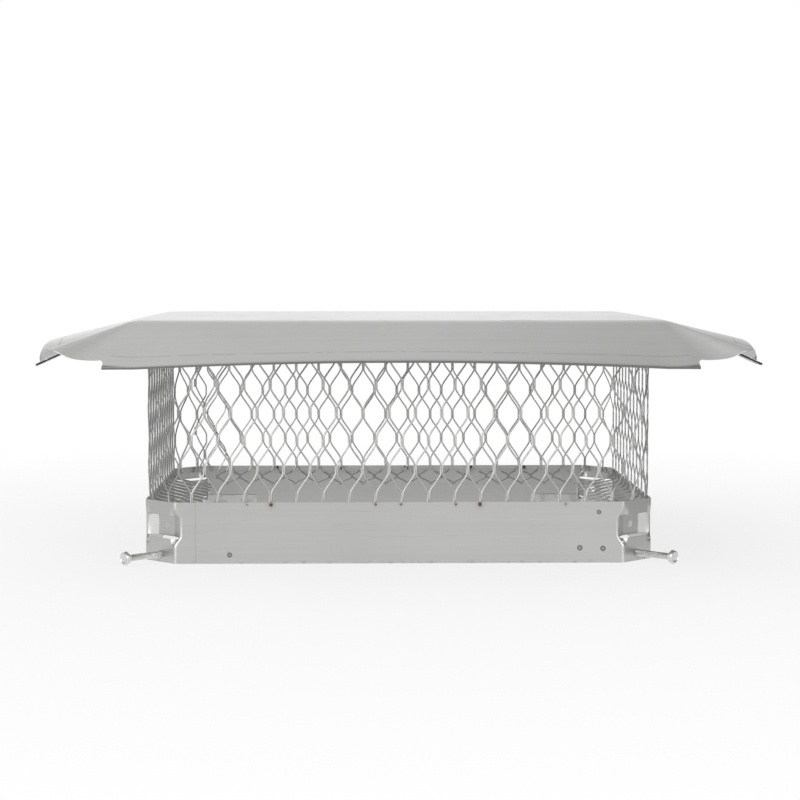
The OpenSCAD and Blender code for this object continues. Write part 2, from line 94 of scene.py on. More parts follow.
class CapSettings(bpy.types.PropertyGroup):
    """Sizes and colours of the cap."""

    band_length: length("Band length", 462, "Outside length of the band")
    band_depth: length("Band depth", 334, "Outside depth of the band")
    band_height: length("Band height", 55.5, "Height of the band")
    band_sheet: length("Band sheet", 0.6, "Thickness of the band's sheet")
    chamfer: length("Chamfer", 29, "Leg of the chamfer at each corner")
    band_radius: length("Band radius", 5, "Outside radius of the band's bends")
    seam_x: length("Seam", 183, "Distance of the seam from the middle of the front")
    seam_gap: length("Seam gap", 0.4, "Width of the line between the ends at the seam")
    lap: length("Lap", 24, "Length of the sheet that runs on behind the seam")

    pocket_z: length("Pocket height above floor", 22, "Height of the window's lower edge")
    pocket_height: length("Pocket opening", 21, "Height of the window")
    pocket_depth: length("Pocket depth", 8, "Depth to which the panel is pushed in")
    pocket_flat: length("Pocket flat", 22, "Width of the panel's flat")
    pocket_run: length("Pocket run", 5, "Length by which the cuts run past the bends")
    pocket_slot: length("Pocket slot", 1.2, "Height of the slots below and above the panel")
    pocket_hole: length("Pocket hole", 6.4, "Diameter of the hole in the panel")
    pocket_bend: length("Pocket bend", 3, "Radius of the panel's bends")

    bolt_z: length("Bolt height", 7, "Height of a bolt's axis")
    bolt_size: length("Bolt size", 6, "Outside diameter of the thread")
    bolt_pitch: length("Thread pitch", 1, "Advance of the thread in one turn")
    bolt_hole: length("Bolt hole", 6.6, "Diameter of the bolt's hole in the band")
    bolt_length: length("Bolt length", 50.8, "Length of a bolt under its head")
    bolt_out: length("Bolt reach", 38, "Distance of a bolt's head from the chamfer")
    head_flats: length("Head across flats", 11.1, "Size of a bolt's head across its flats")
    head_height: length("Head height", 4, "Height of a bolt's head")

    mesh_width: length("Diamond width", 23.45, "Pitch of the diamonds along the wall")
    mesh_height: length("Diamond height", 50.8, "Pitch of the diamonds up the wall")
    knot_z: length("First knots", 59.7, "Height of the lowest row of knots on the wall")
    mesh_shift: length("Diamond shift", 2.3, "Shift of the diamonds along the wall")
    joint_x: length("Joint of the screen", 190, "Distance of the strip's joint from the back's middle")
    strand: length("Strand width", 1.5, "Width of a strand")
    strand_sheet: length("Strand sheet", 0.8, "Thickness of the expanded metal")
    knot_length: length("Knot length", 8.5, "Length of the solid piece where strands meet")
    knot_tilt: angle("Knot tilt", 24, "Tilt of the knots out of the screen's face")
    screen_in: length("Screen inset", 1.4, "Distance of the screen behind the band's outside")
    screen_radius: length("Screen radius", 30, "Outside radius of the screen's corners")
    root_z: length("Screen root", 49, "Height of the fold above the lower flange")
    flange: length("Lower flange", 42, "Length of the lower flange")
    flange_slope: angle("Lower flange slope", 13, "Slope of the lower flange")
    top_flange: length("Upper flange", 19, "Length of the upper flange")
    tab_gap: length("Flange end", 2, "Distance of the flanges' ends from a wall's ends")
    fold_radius: length("Screen fold", 2.2, "Radius of the folds at the flanges")

    top_length: length("Top length", 478, "Length of the flat top between its folds")
    top_depth: length("Top depth", 360, "Depth of the flat top between its folds")
    height: length("Height", 219.2, "Height of the whole cap")
    lid_sheet: length("Lid sheet", 0.6, "Thickness of the lid's sheet")
    panel: length("Side panel", 90.2, "Length of a side panel from its fold to its hem")
    slope_end: angle("Slope at the ends", 24.7, "Slope of a panel at its ends")
    slope_middle: angle("Slope in the middle", 20.8, "Slope of a long panel in its middle")
    slope_short: angle("Slope of short panels", 13.5, "Slope of a short panel in its middle")
    short_trim: length("Short panel trim", 0.15, "Length by which the short panels are cut back")
    fold: length("Fold width", 18, "Width of the soft fold round the top")
    top_radius: length("Top radius", 4, "Radius of the flat top's corners")
    hem: length("Hem", 18.5, "Width of the hems at front and back")
    end_hem: length("End hem", 25, "Width of the hems at the two ends")
    hem_gap: length("Hem gap", 1.2, "Space inside a hem")
    hem_past: length("Hem past fold", 15, "Length by which a hem runs past the fold")
    setback: length("Setback", 14.7, "Distance of a corner's edge behind the hems")
    corner_radius: length("Corner radius", 39, "Radius of a corner's edge in the flat sheet")
    notch_radius: length("Notch radius", 4, "Radius where a hem's end meets the corner's edge")
    crease: angle("Crease", 27.7, "Angle between a panel's middle line and its crease")
    wave: length("Wave", 0.3, "Depth of the soft waves in the lid's panels")

    lid_steel: colour("Lid steel", (0.585, 0.585, 0.58), "Colour of the lid's sheet")
    band_steel: colour("Band steel", (0.57, 0.57, 0.565), "Colour of the band's sheet")
    screen_steel: colour("Screen steel", (0.43, 0.43, 0.425), "Colour of the screen")
    bolt_steel: colour("Bolt steel", (0.74, 0.74, 0.73), "Colour of the bolts and nuts")
    burn: colour("Burn", (0.045, 0.04, 0.038), "Colour of the burnt metal at a weld")
    tint: colour("Heat tint", (0.40, 0.35, 0.28), "Colour of the straw tint round a weld")
    floor: colour("Floor", (0.93, 0.93, 0.93), "Colour of the floor")

    camera_x: length("Camera X", -37.1, "Place of the camera")
    camera_y: length("Camera Y", -1965.1, "Place of the camera")
    camera_z: length("Camera Z", 267.5, "Place of the camera")
    camera_lens: FloatProperty(
        name="Camera lens", description="Focal length of the camera", default=90.54, unit="CAMERA"
    )
    camera_pitch: angle("Camera pitch", 3.82, "Tilt of the camera towards the floor")
    camera_yaw: angle("Camera yaw", 1.19, "Turn of the camera towards +X")

    seed: IntProperty(name="Seed", description="Start of the random variations", default=7)


# Small geometry


def unit(v):
    """The vector at length 1."""
    return v / np.linalg.norm(v)


def smooth(t):
    """A soft step from 0 to 1."""
    t = np.clip(t, 0, 1)
    return t * t * (3 - 2 * t)


def bend(a, b, c, radius, steps):
    """Points of an arc that touches the lines a-b and b-c."""
    u, v = unit(a - b), unit(c - b)
    half = math.acos(float(np.clip(u @ v, -1, 1))) / 2
    middle = b + unit(u + v) * radius / math.sin(half)
    start = b + u * radius / math.tan(half) - middle
    end = b + v * radius / math.tan(half) - middle
    first = math.atan2(start[1], start[0])
    turn = (math.atan2(end[1], end[0]) - first + math.pi) % (2 * math.pi) - math.pi
    return [
        middle + radius * np.array([math.cos(first + turn * k / steps), math.sin(first + turn * k / steps)])
        for k in range(steps + 1)
    ]


def chamfered(cap, inset):
    """The band's chamfered rectangle moved inwards, from the front wall anticlockwise."""
    x, y = cap.band_length / 2 - inset, cap.band_depth / 2 - inset
    c = cap.chamfer - (2 - math.sqrt(2)) * inset
    return [
        np.array(p) for p in (
            (-x + c, -y), (x - c, -y), (x, -y + c), (x, y - c),
            (x - c, y), (-x + c, y), (-x, y - c), (-x, -y + c),
        )
    ]


def from_corner(cap, name, point):
    """A point drawn in a chamfer's own frame (along it, inwards, up) in the cap's frame."""
    sx, sy = CORNERS[name]
    turn = math.radians(CORNER_TURN[name])
    x, y, z = point
    return np.array([
        sx * (cap.band_length - cap.chamfer) / 2 + x * math.cos(turn) - y * math.sin(turn),
        sy * (cap.band_depth - cap.chamfer) / 2 + x * math.sin(turn) + y * math.cos(turn),
        z,
    ])


def new_piece(name, points, faces, body, nodes=(), sharp=35):
    """A mesh object that rides on a body and stands for the named nodes of the frame."""
    mesh = bpy.data.meshes.new(name)
    mesh.from_pydata([tuple(p) for p in points], [], faces)
    mesh.validate()
    mesh.update()
    mesh.shade_smooth()
    mesh.set_sharp_from_angle(angle=math.radians(sharp))
    piece = bpy.data.objects.new(name, mesh)
    bpy.context.scene.collection.objects.link(piece)
    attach(piece, body)
    if nodes:
        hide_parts(*nodes)
    return piece


def grid_faces(rows, columns, start=0, closed=False):
    """Faces of a grid of points that is stored row by row."""
    across = columns if closed else columns - 1
    return [
        (
            start + r * columns + c,
            start + r * columns + (c + 1) % columns,
            start + (r + 1) * columns + (c + 1) % columns,
            start + (r + 1) * columns + c,
        )
        for r in range(rows - 1)
        for c in range(across)
    ]


def sweep(sections):
    """Points and faces of a closed tube through sections of the same number of points."""
    count = len(sections[0])
    points = [p for section in sections for p in section]
    faces = grid_faces(len(sections), count, closed=True)
    faces.append(tuple(reversed(range(count))))
    faces.append(tuple(range(len(points) - count, len(points))))
    return points, faces


# Shader maths


class Wire:
    """A socket that takes part in ordinary expressions."""

    def __init__(self, net, socket):
        self.net = net
        self.socket = socket

    def maths(self, operation, *others, clamp=False):
        """A Math node of this socket and the others."""
        node = self.net.tree.nodes.new("ShaderNodeMath")
        node.operation = operation
        node.use_clamp = clamp
        for place, value in enumerate((self, *others)):
            self.net.plug(node.inputs[place], value)
        return Wire(self.net, node.outputs[0])

    def turned(self, operation, other):
        """A Math node with the number in front of this socket."""
        node = self.net.tree.nodes.new("ShaderNodeMath")
        node.operation = operation
        self.net.plug(node.inputs[0], other)
        self.net.plug(node.inputs[1], self)
        return Wire(self.net, node.outputs[0])

    def __add__(self, other):
        return self.maths("ADD", other)

    def __radd__(self, other):
        return self.turned("ADD", other)

    def __sub__(self, other):
        return self.maths("SUBTRACT", other)

    def __rsub__(self, other):
        return self.turned("SUBTRACT", other)

    def __mul__(self, other):
        return self.maths("MULTIPLY", other)

    def __rmul__(self, other):
        return self.turned("MULTIPLY", other)

    def __truediv__(self, other):
        return self.maths("DIVIDE", other)

    def __rtruediv__(self, other):
        return self.turned("DIVIDE", other)

    def __pow__(self, other):
        return self.maths("POWER", other)

    def __abs__(self):
        return self.maths("ABSOLUTE")

    def __neg__(self):
        return self.maths("MULTIPLY", -1.0)

    def above(self, value):
        """1 where this is greater than the value."""
        return self.maths("GREATER_THAN", value)

    def below(self, value):
        """1 where this is less than the value."""
        return self.maths("LESS_THAN", value)

    def most(self, other):
        """The greater of the two."""
        return self.maths("MAXIMUM", other)

    def least(self, other):
        """The smaller of the two."""
        return self.maths("MINIMUM", other)

    def held(self):
        """This kept between 0 and 1."""
        return self.maths("ADD", 0.0, clamp=True)

    def step(self, low, high):
        """A soft step from 0 at low to 1 at high."""
        node = self.net.tree.nodes.new("ShaderNodeMapRange")
        node.interpolation_type = "SMOOTHSTEP"
        self.net.plug(node.inputs["Value"], self)
        node.inputs["From Min"].default_value = low
        node.inputs["From Max"].default_value = high
        return Wire(self.net, node.outputs["Result"])


class Net:
    """A node tree that is being written."""

    def __init__(self, tree):
        self.tree = tree
        tree.nodes.clear()

    def plug(self, socket, value):
        """Joins a wire to a socket, or sets the socket to a constant."""
        if isinstance(value, Wire):
            self.tree.links.new(value.socket, socket)
        else:
            socket.default_value = value

    def node(self, kind, sockets=None, out=0, **settings):
        """Any node: its settings as keywords, its sockets as a dictionary, and one output."""
        node = self.tree.nodes.new(kind)
        for name, value in settings.items():
            setattr(node, name, value)
        for name, value in (sockets or {}).items():
            self.plug(node.inputs[name], value)
        return Wire(self, node.outputs[out]) if len(node.outputs) else node

    def place(self):
        """The piece's own coordinates, in metres."""
        return self.node("ShaderNodeTexCoord", out="Object")

    def axes(self, vector):
        """The three parts of a vector."""
        node = self.tree.nodes.new("ShaderNodeSeparateXYZ")
        self.plug(node.inputs[0], vector)
        return [Wire(self, out) for out in node.outputs]

    def vector(self, x, y, z):
        """A vector of three parts."""
        return self.node("ShaderNodeCombineXYZ", {"X": x, "Y": y, "Z": z})

    def stretched(self, vector, scale):
        """A vector with each part scaled."""
        return self.node("ShaderNodeVectorMath", {0: vector, 1: scale}, operation="MULTIPLY")

    def noise(self, vector, scale=1.0, detail=2.0, roughness=0.5, distortion=0.0):
        """A noise of mean one half."""
        return self.node(
            "ShaderNodeTexNoise",
            {
                "Vector": vector, "Scale": scale, "Detail": detail,
                "Roughness": roughness, "Distortion": distortion,
            },
            out="Fac",
        )

    def mix(self, factor, first, second):
        """A colour between two."""
        node = self.tree.nodes.new("ShaderNodeMix")
        node.data_type = "RGBA"
        self.plug(node.inputs["Factor"], factor)
        for place, value in (("A", first), ("B", second)):
            socket = next(s for s in node.inputs if s.name == place and s.type == "RGBA")
            self.plug(socket, value if isinstance(value, Wire) else (*value, 1.0))
        return Wire(self, next(s for s in node.outputs if s.type == "RGBA"))

    def shade(self, base, amount):
        """A colour made lighter or darker by a factor."""
        grey = self.node("ShaderNodeCombineColor", {"Red": amount, "Green": amount, "Blue": amount})
        node = self.tree.nodes.new("ShaderNodeMix")
        node.data_type = "RGBA"
        node.blend_type = "MULTIPLY"
        node.inputs["Factor"].default_value = 1.0
        sockets = [s for s in node.inputs if s.type == "RGBA"]
        self.plug(sockets[0], base if isinstance(base, Wire) else (*base, 1.0))
        self.plug(sockets[1], grey)
        return Wire(self, next(s for s in node.outputs if s.type == "RGBA"))

    def bump(self, height, distance, strength=1.0):
        """A normal for a height that is given in shares of the distance."""
        return self.node(
            "ShaderNodeBump", {"Height": height, "Distance": distance, "Strength": strength}, out="Normal"
        )


def new_material(name):
    """A material with an empty node tree, and its net."""
    material = bpy.data.materials.new(name)
    material.use_nodes = True
    return material, Net(material.node_tree)


def metal(net, base, roughness, normal, metallic=1.0):
    """The metal shader at the end of a net."""
    shader = net.tree.nodes.new("ShaderNodeBsdfPrincipled")
    for name, value in (
        ("Base Color", base), ("Roughness", roughness), ("Normal", normal), ("Metallic", metallic),
    ):
        net.plug(shader.inputs[name], value)
    output = net.tree.nodes.new("ShaderNodeOutputMaterial")
    net.tree.links.new(shader.outputs[0], output.inputs["Surface"])
    return shader


def cover(piece, material):
    """Gives a piece one material."""
    piece.data.materials.clear()
    piece.data.materials.append(material)


def brushed(net, place, base, grain=(5.0, 1400.0, 1400.0)):
    """Colour, roughness and height of a sheet with fine grain along its length."""
    fine = net.noise(net.stretched(place, grain), detail=3.0, roughness=0.65)
    broad = net.noise(net.stretched(place, tuple(g / 7 for g in grain)), detail=2.0)
    cloud = net.noise(place, scale=7.0, detail=3.0)
    smear = net.noise(place, scale=34.0, detail=4.0, roughness=0.6, distortion=0.6)
    scratch_field = net.noise(net.stretched(place, (26.0, 900.0, 900.0)), detail=1.0, distortion=0.1)
    scratch = scratch_field.step(0.70, 0.76)
    tone = 1.0 + (fine - 0.5) * 0.16 + (broad - 0.5) * 0.10 + (cloud - 0.5) * 0.14 - scratch * 0.10
    colour_now = net.shade(base, tone)
    roughness = 0.30 + fine * 0.10 + (cloud - 0.5) * 0.10 + smear.step(0.52, 0.72) * 0.07 + scratch * 0.1
    height = fine * 0.5 + broad * 0.5
    return colour_now, roughness, height


# Lid


def lid_direction(cap, turn):
    """Direction of the lid's sheet at an angle from a panel's own direction in the flat sheet."""
    if turn > math.pi / 4:
        x, y, z = lid_direction(cap, math.pi / 2 - turn)
        return np.array([y, x, z])
    slope, crease = cap.slope_end, cap.crease
    if turn <= crease:
        return np.array([
            math.cos(slope) * math.cos(turn), math.sin(turn), -math.sin(slope) * math.cos(turn)
        ])
    at_crease = lid_direction(cap, crease)
    level = (at_crease[0] + at_crease[1]) / math.sqrt(2)
    ridge_slope = math.atan2(-at_crease[2], level) - math.acos(
        math.cos(math.pi / 4 - crease) / math.hypot(at_crease[2], level)
    )
    ridge = np.array([
        math.cos(ridge_slope) / math.sqrt(2), math.cos(ridge_slope) / math.sqrt(2), -math.sin(ridge_slope)
    ])
    return (
        math.sin(math.pi / 4 - turn) * at_crease + math.sin(turn - crease) * ridge
    ) / math.sin(math.pi / 4 - crease)


def lid_soft_direction(cap, turn):
    """The same direction with the creases and the ridge rounded."""
    return unit(sum(lid_direction(cap, turn + math.radians(k)) for k in (-6, -4.5, -3, -1.5, 0, 1.5, 3, 4.5, 6)))


def quarter(p, side):
    """A point or direction turned to one of the four sides."""
    x, y, z = p
    return np.array([(x, y, z), (-y, x, z), (-x, -y, z), (y, -x, z)][side])


class LidShape:
    """The lid as stations round its flat top, each with a direction down the sheet and a length."""

    panel_steps = 72
    hem_side = 5
    fold_steps = 10
    panel_rings = 14
    bend_steps = 10

    def __init__(self, cap):
        self.cap = cap
        self.lid_x = cap.top_length / 2 - cap.fold / 2 - cap.top_radius
        self.lid_y = cap.top_depth / 2 - cap.fold / 2 - cap.top_radius
        start = cap.fold / 2 + cap.top_radius
        self.hem_r = cap.lid_sheet + cap.hem_gap / 2
        self.hem_run = cap.panel + start - self.hem_r
        edge_run = cap.panel + start - cap.setback
        past = cap.hem_past + start
        arc = edge_run - cap.corner_radius
        notch = cap.notch_radius
        half = [(self.hem_run, past * (k + 1) / self.hem_side) for k in range(self.hem_side)]
        half += [
            (edge_run + notch * (1 - math.sin(t)), past + notch * (1 - math.cos(t)))
            for t in np.radians([0, 22, 45, 68, 90])
        ]
        half += [(edge_run, (past + notch) + (arc - past - notch) * k / 4) for k in range(1, 4)]
        half += [
            (arc + cap.corner_radius * math.cos(t), arc + cap.corner_radius * math.sin(t))
            for t in np.radians(np.linspace(0, 45, 15))
        ]
        corner = half + [(b, a) for a, b in reversed(half[:-1])]
        self.stations = []
        for side in range(4):
            out, along = (self.lid_x, self.lid_y) if side % 2 == 0 else (self.lid_y, self.lid_x)
            for j in range(self.panel_steps + 1):
                q = 2 * j / self.panel_steps - 1
                slope = self.slope(q, side)
                reach = min(1, math.cos(cap.slope_middle) / math.cos(slope))
                self.stations.append((
                    quarter((out, q * along, 0), side),
                    quarter((math.cos(slope), 0, -math.sin(slope)), side),
                    self.hem_run - cap.panel * (1 - reach) - (cap.short_trim if reach < 1 else 0),
                ))
            for e in corner:
                self.stations.append((
                    quarter((out, along, 0), side),
                    quarter(lid_soft_direction(cap, math.atan2(e[1], e[0])), side),
                    math.hypot(*e),
                ))
        self.count = len(self.stations)
        self.side_count = self.panel_steps + 1 + len(corner)
        noise = random.Random(cap.seed)
        self.waves = [
            (noise.uniform(18, 46), noise.uniform(0, 6.3), noise.uniform(0.5, 1.0)) for _ in range(5)
        ]

    def slope(self, q, side):
        """Slope of a side's panel at a place from -1 to 1 along it."""
        middle, power = (self.cap.slope_short, 6) if side % 2 == 0 else (self.cap.slope_middle, 2)
        return middle + (self.cap.slope_end - middle) * abs(q) ** power

    def point(self, s, run):
        """Point of a station after a length of sheet."""
        cap = self.cap
        start, d, full = self.stations[s]
        bent = max(run - cap.top_radius, 0)
        down = bent * bent / (2 * cap.fold) if bent < cap.fold else bent - cap.fold / 2
        level = math.hypot(d[0], d[1])
        flat = run - down + down * level
        first = cap.top_radius + cap.fold
        part = (run - first) / max(full - first, 1e-9)
        wave = 0
        if 0 < part < 1:
            place = start[0] - start[1] + d[0] * 0.05
            wave = sum(a * math.sin(k * place + f + 3 * part) for k, f, a in self.waves)
            wave *= cap.wave / 4 * math.sin(math.pi * part)
        return np.array([
            start[0] + d[0] / level * flat,
            start[1] + d[1] / level * flat,
            cap.height + d[2] * down + wave,
        ])

    def runs(self, s):
        """Lengths of sheet of the rings at a station."""
        cap = self.cap
        fold = [cap.top_radius + cap.fold * k / self.fold_steps for k in range(self.fold_steps + 1)]
        end = self.stations[s][2]
        return fold + [
            fold[-1] + (end - fold[-1]) * k / self.panel_rings for k in range(1, self.panel_rings + 1)
        ]

    def hem_section(self, width):
        """Section of a hem, outwards and upwards from the end of the sheet's upper side."""
        r, t = self.hem_r, self.cap.lid_sheet
        bends = [math.pi * k / self.bend_steps for k in range(1, self.bend_steps + 1)]
        outer = [(r * math.sin(a), r * math.cos(a) - r) for a in bends]
        inner = [((r - t) * math.sin(a), (r - t) * math.cos(a) - r) for a in reversed(bends)]
        mid = [(-width / 2, -2 * r), (-width, -2 * r), (-width, -2 * r + t), (-width / 2, -2 * r + t)]
        return outer + mid + inner

    def build(self):
        """Points, faces and distances from the hem of the whole lid."""
        cap, count = self.cap, self.count
        runs = [self.runs(s) for s in range(count)]
        rings = len(runs[0])
        top = [self.point(s, runs[s][r]) for r in range(rings) for s in range(count)]
        from_hem = [
            (self.hem_run - runs[s][r]) if self.in_hem(s) or self.in_hem(s - 1) else 0.5
            for r in range(rings) for s in range(count)
        ]
        under = [p - np.array([0, 0, cap.lid_sheet]) for p in top]
        points = top + under
        distances = from_hem + from_hem
        faces = [tuple(range(count)), tuple(reversed(range(rings * count, (rings + 1) * count)))]
        for r in range(rings - 1):
            for s in range(count):
                a, b = r * count + s, r * count + (s + 1) % count
                faces.append((a, a + count, b + count, b))
                a, b = a + rings * count, b + rings * count
                faces.append((b, b + count, a + count, a))
        last = (rings - 1) * count
        for s in range(count):
            if not self.in_hem(s):
                a, b = last + s, last + (s + 1) % count
                faces.append((a, a + rings * count, b + rings * count, b))
        for side in range(4):
            self.add_hem(side, points, distances, faces, last, rings)
        return points, faces, distances

    def in_hem(self, s):
        """Whether the sheet goes on into a hem between a station and the next."""
        return (s % self.count + self.hem_side) % self.side_count < self.panel_steps + 2 * self.hem_side

    def add_hem(self, side, points, distances, faces, last, rings):
        """Adds the hem of one side."""
        cap, count = self.cap, self.count
        section = self.hem_section(cap.end_hem if side % 2 == 0 else cap.hem)
        columns = []
        for j in range(self.panel_steps + 1 + 2 * self.hem_side):
            s = (side * self.side_count - self.hem_side + j) % count
            q = max(-1, min(1, 2 * (j - self.hem_side) / self.panel_steps - 1))
            slope = self.slope(q, side)
            out = quarter((math.cos(slope), 0, -math.sin(slope)), side)
            up = quarter((math.sin(slope), 0, math.cos(slope)), side)
            start = points[last + s]
            column = [last + s]
            for k, h in enumerate(section):
                column.append(len(points))
                points.append(start + h[0] * out + h[1] * up)
                distances.append(-self.hem_r * math.pi * (k + 1) / self.bend_steps if k < self.bend_steps else 0.5)
            column.append(last + rings * count + s)
            columns.append(column)
        for left, right in zip(columns, columns[1:]):
            for h in range(len(left) - 1):
                faces.append((left[h], left[h + 1], right[h + 1], right[h]))
        turns = len(columns[0])
        for column, flip in ((columns[0], False), (columns[-1], True)):
            for h in range(turns // 2 - 1):
                face = (column[h], column[turns - 1 - h], column[turns - 2 - h], column[h + 1])
                faces.append(tuple(reversed(face)) if flip else face)


def lid_finish(cap):
    """Brushed sheet with soft clouds, scratches, the line that the hem prints through it, and a painted dark
    reflection on the hem's rounded nose.
    """
    material, net = new_material("lid_sheet")
    place = net.place()
    base, roughness, height = brushed(net, place, tuple(cap.lid_steel))
    x, y, z = net.axes(place)
    sheet = net.node("ShaderNodeUVMap", uv_map="sheet")
    distance = net.axes(sheet)[1]
    dash = net.noise(net.vector(x, y, 0.0), scale=95.0, detail=1.0).step(0.34, 0.46)
    line = (1.0 - (abs(distance - (cap.hem - 0.0005)) / 0.0011).held()) * dash
    # A little darker along the panel's last few millimetres before the hem.
    panel_edge_darkening = (1.0 - (abs(distance - 0.0012) / 0.0016).held())
    # Painted dark reflection: the hem's rounded nose is darkened in its colour to stand in for the dark
    # surroundings it would mirror.
    painted_nose_reflection = 1.0 - distance.step(-0.0012, 0.0008)
    shade = 1.0 - line * 0.26 - panel_edge_darkening * 0.12 - painted_nose_reflection * 0.6
    metal(
        net, net.shade(base, shade), roughness + line * 0.12,
        net.bump(height - line * 0.4, 0.00004, 0.6),
    )
    return material


class CAP_OT_lid(bpy.types.Operator):
    """Builds the folded lid with its raised corners and hems"""

    bl_idname = "cap.lid"
    bl_label = "Lid"

    def execute(self, context):
        cap = context.scene.chimney_cap
        points, faces, distances = LidShape(cap).build()
        lid = new_piece("lid_folded", points, faces, "cap", ["lid"], sharp=50)
        layer = lid.data.uv_layers.new(name="sheet")
        for loop in lid.data.loops:
            p = points[loop.vertex_index]
            layer.data[loop.index].uv = (p[0] - p[1], distances[loop.vertex_index])
        cover(lid, lid_finish(cap))
        return {"FINISHED"}


# Band


def band_finish(cap):
    """Brushed sheet with burn marks where the screen is welded to it."""
    material, net = new_material("band_sheet")
    place = net.place()
    base, roughness, height = brushed(net, place, tuple(cap.band_steel), grain=(6.0, 6.0, 1500.0))
    x, y, z = net.axes(place)
    ragged = net.noise(place, scale=420.0, detail=3.0)
    burns, tints = 0.0, 0.0
    front = y.below(-0.1)
    back = y.above(0.1)
    marks = [
        (-0.137, front, 0.0016, 0.5), (-0.1155, front, 0.0026, 1.0), (-0.0215, front, 0.0018, 0.8),
        (0.0012, front, 0.0018, 0.7), (0.0505, front, 0.0018, 0.8), (0.0722, front, 0.0028, 1.0),
        (0.1495, front, 0.0020, 0.5),
        (-0.1238, back, 0.0032, 1.0), (-0.0547, back, 0.0030, 1.0), (0.0138, back, 0.0032, 1.0),
        (0.0834, back, 0.0034, 1.0), (-0.0777, back, 0.0018, 0.7), (0.1395, back, 0.0028, 1.0),
    ]
    for at, wall, radius, depth in marks:
        reach = ((x - at) ** 2.0 + (z - (cap.band_height - 0.0022)) ** 2.0) ** 0.5 + (ragged - 0.5) * 0.0016
        burns = burns + reach.step(radius, radius * 0.35) * wall * depth
        tints = tints + reach.step(radius * 2.4, radius * 0.9) * wall * depth
    side = abs(x).above(cap.band_length / 2 - 0.01) * abs(y).below(0.12)
    pitch = cap.mesh_width * 3
    along = abs((y / pitch - (y / pitch).maths("ROUND")) * pitch)
    reach = (along ** 2.0 + (z - (cap.band_height - 0.0022)) ** 2.0) ** 0.5 + (ragged - 0.5) * 0.0016
    burns = (burns + reach.step(0.0024, 0.0009) * side * 0.8).held()
    tints = (tints + reach.step(0.0060, 0.0022) * side * 0.7).held()
    # Darker, rougher patches along the lowest 4 mm of the band.
    lower = 1.0 - z.step(0.0, 0.004) * 1.0
    low_edge_patches = lower * net.noise(place, scale=160.0, detail=3.0).step(0.5, 0.7)
    tinted = net.mix(tints * 0.3, base, tuple(cap.tint))
    burnt = net.mix(burns * 0.92, tinted, tuple(cap.burn))
    colour_now = net.shade(burnt, 1.0 - low_edge_patches * 0.25)
    metal(
        net, colour_now, roughness + burns * 0.3 + low_edge_patches * 0.1,
        net.bump(height + burns * 1.5, 0.00004, 0.6), metallic=1.0 - burns * 0.75,
    )
    return material


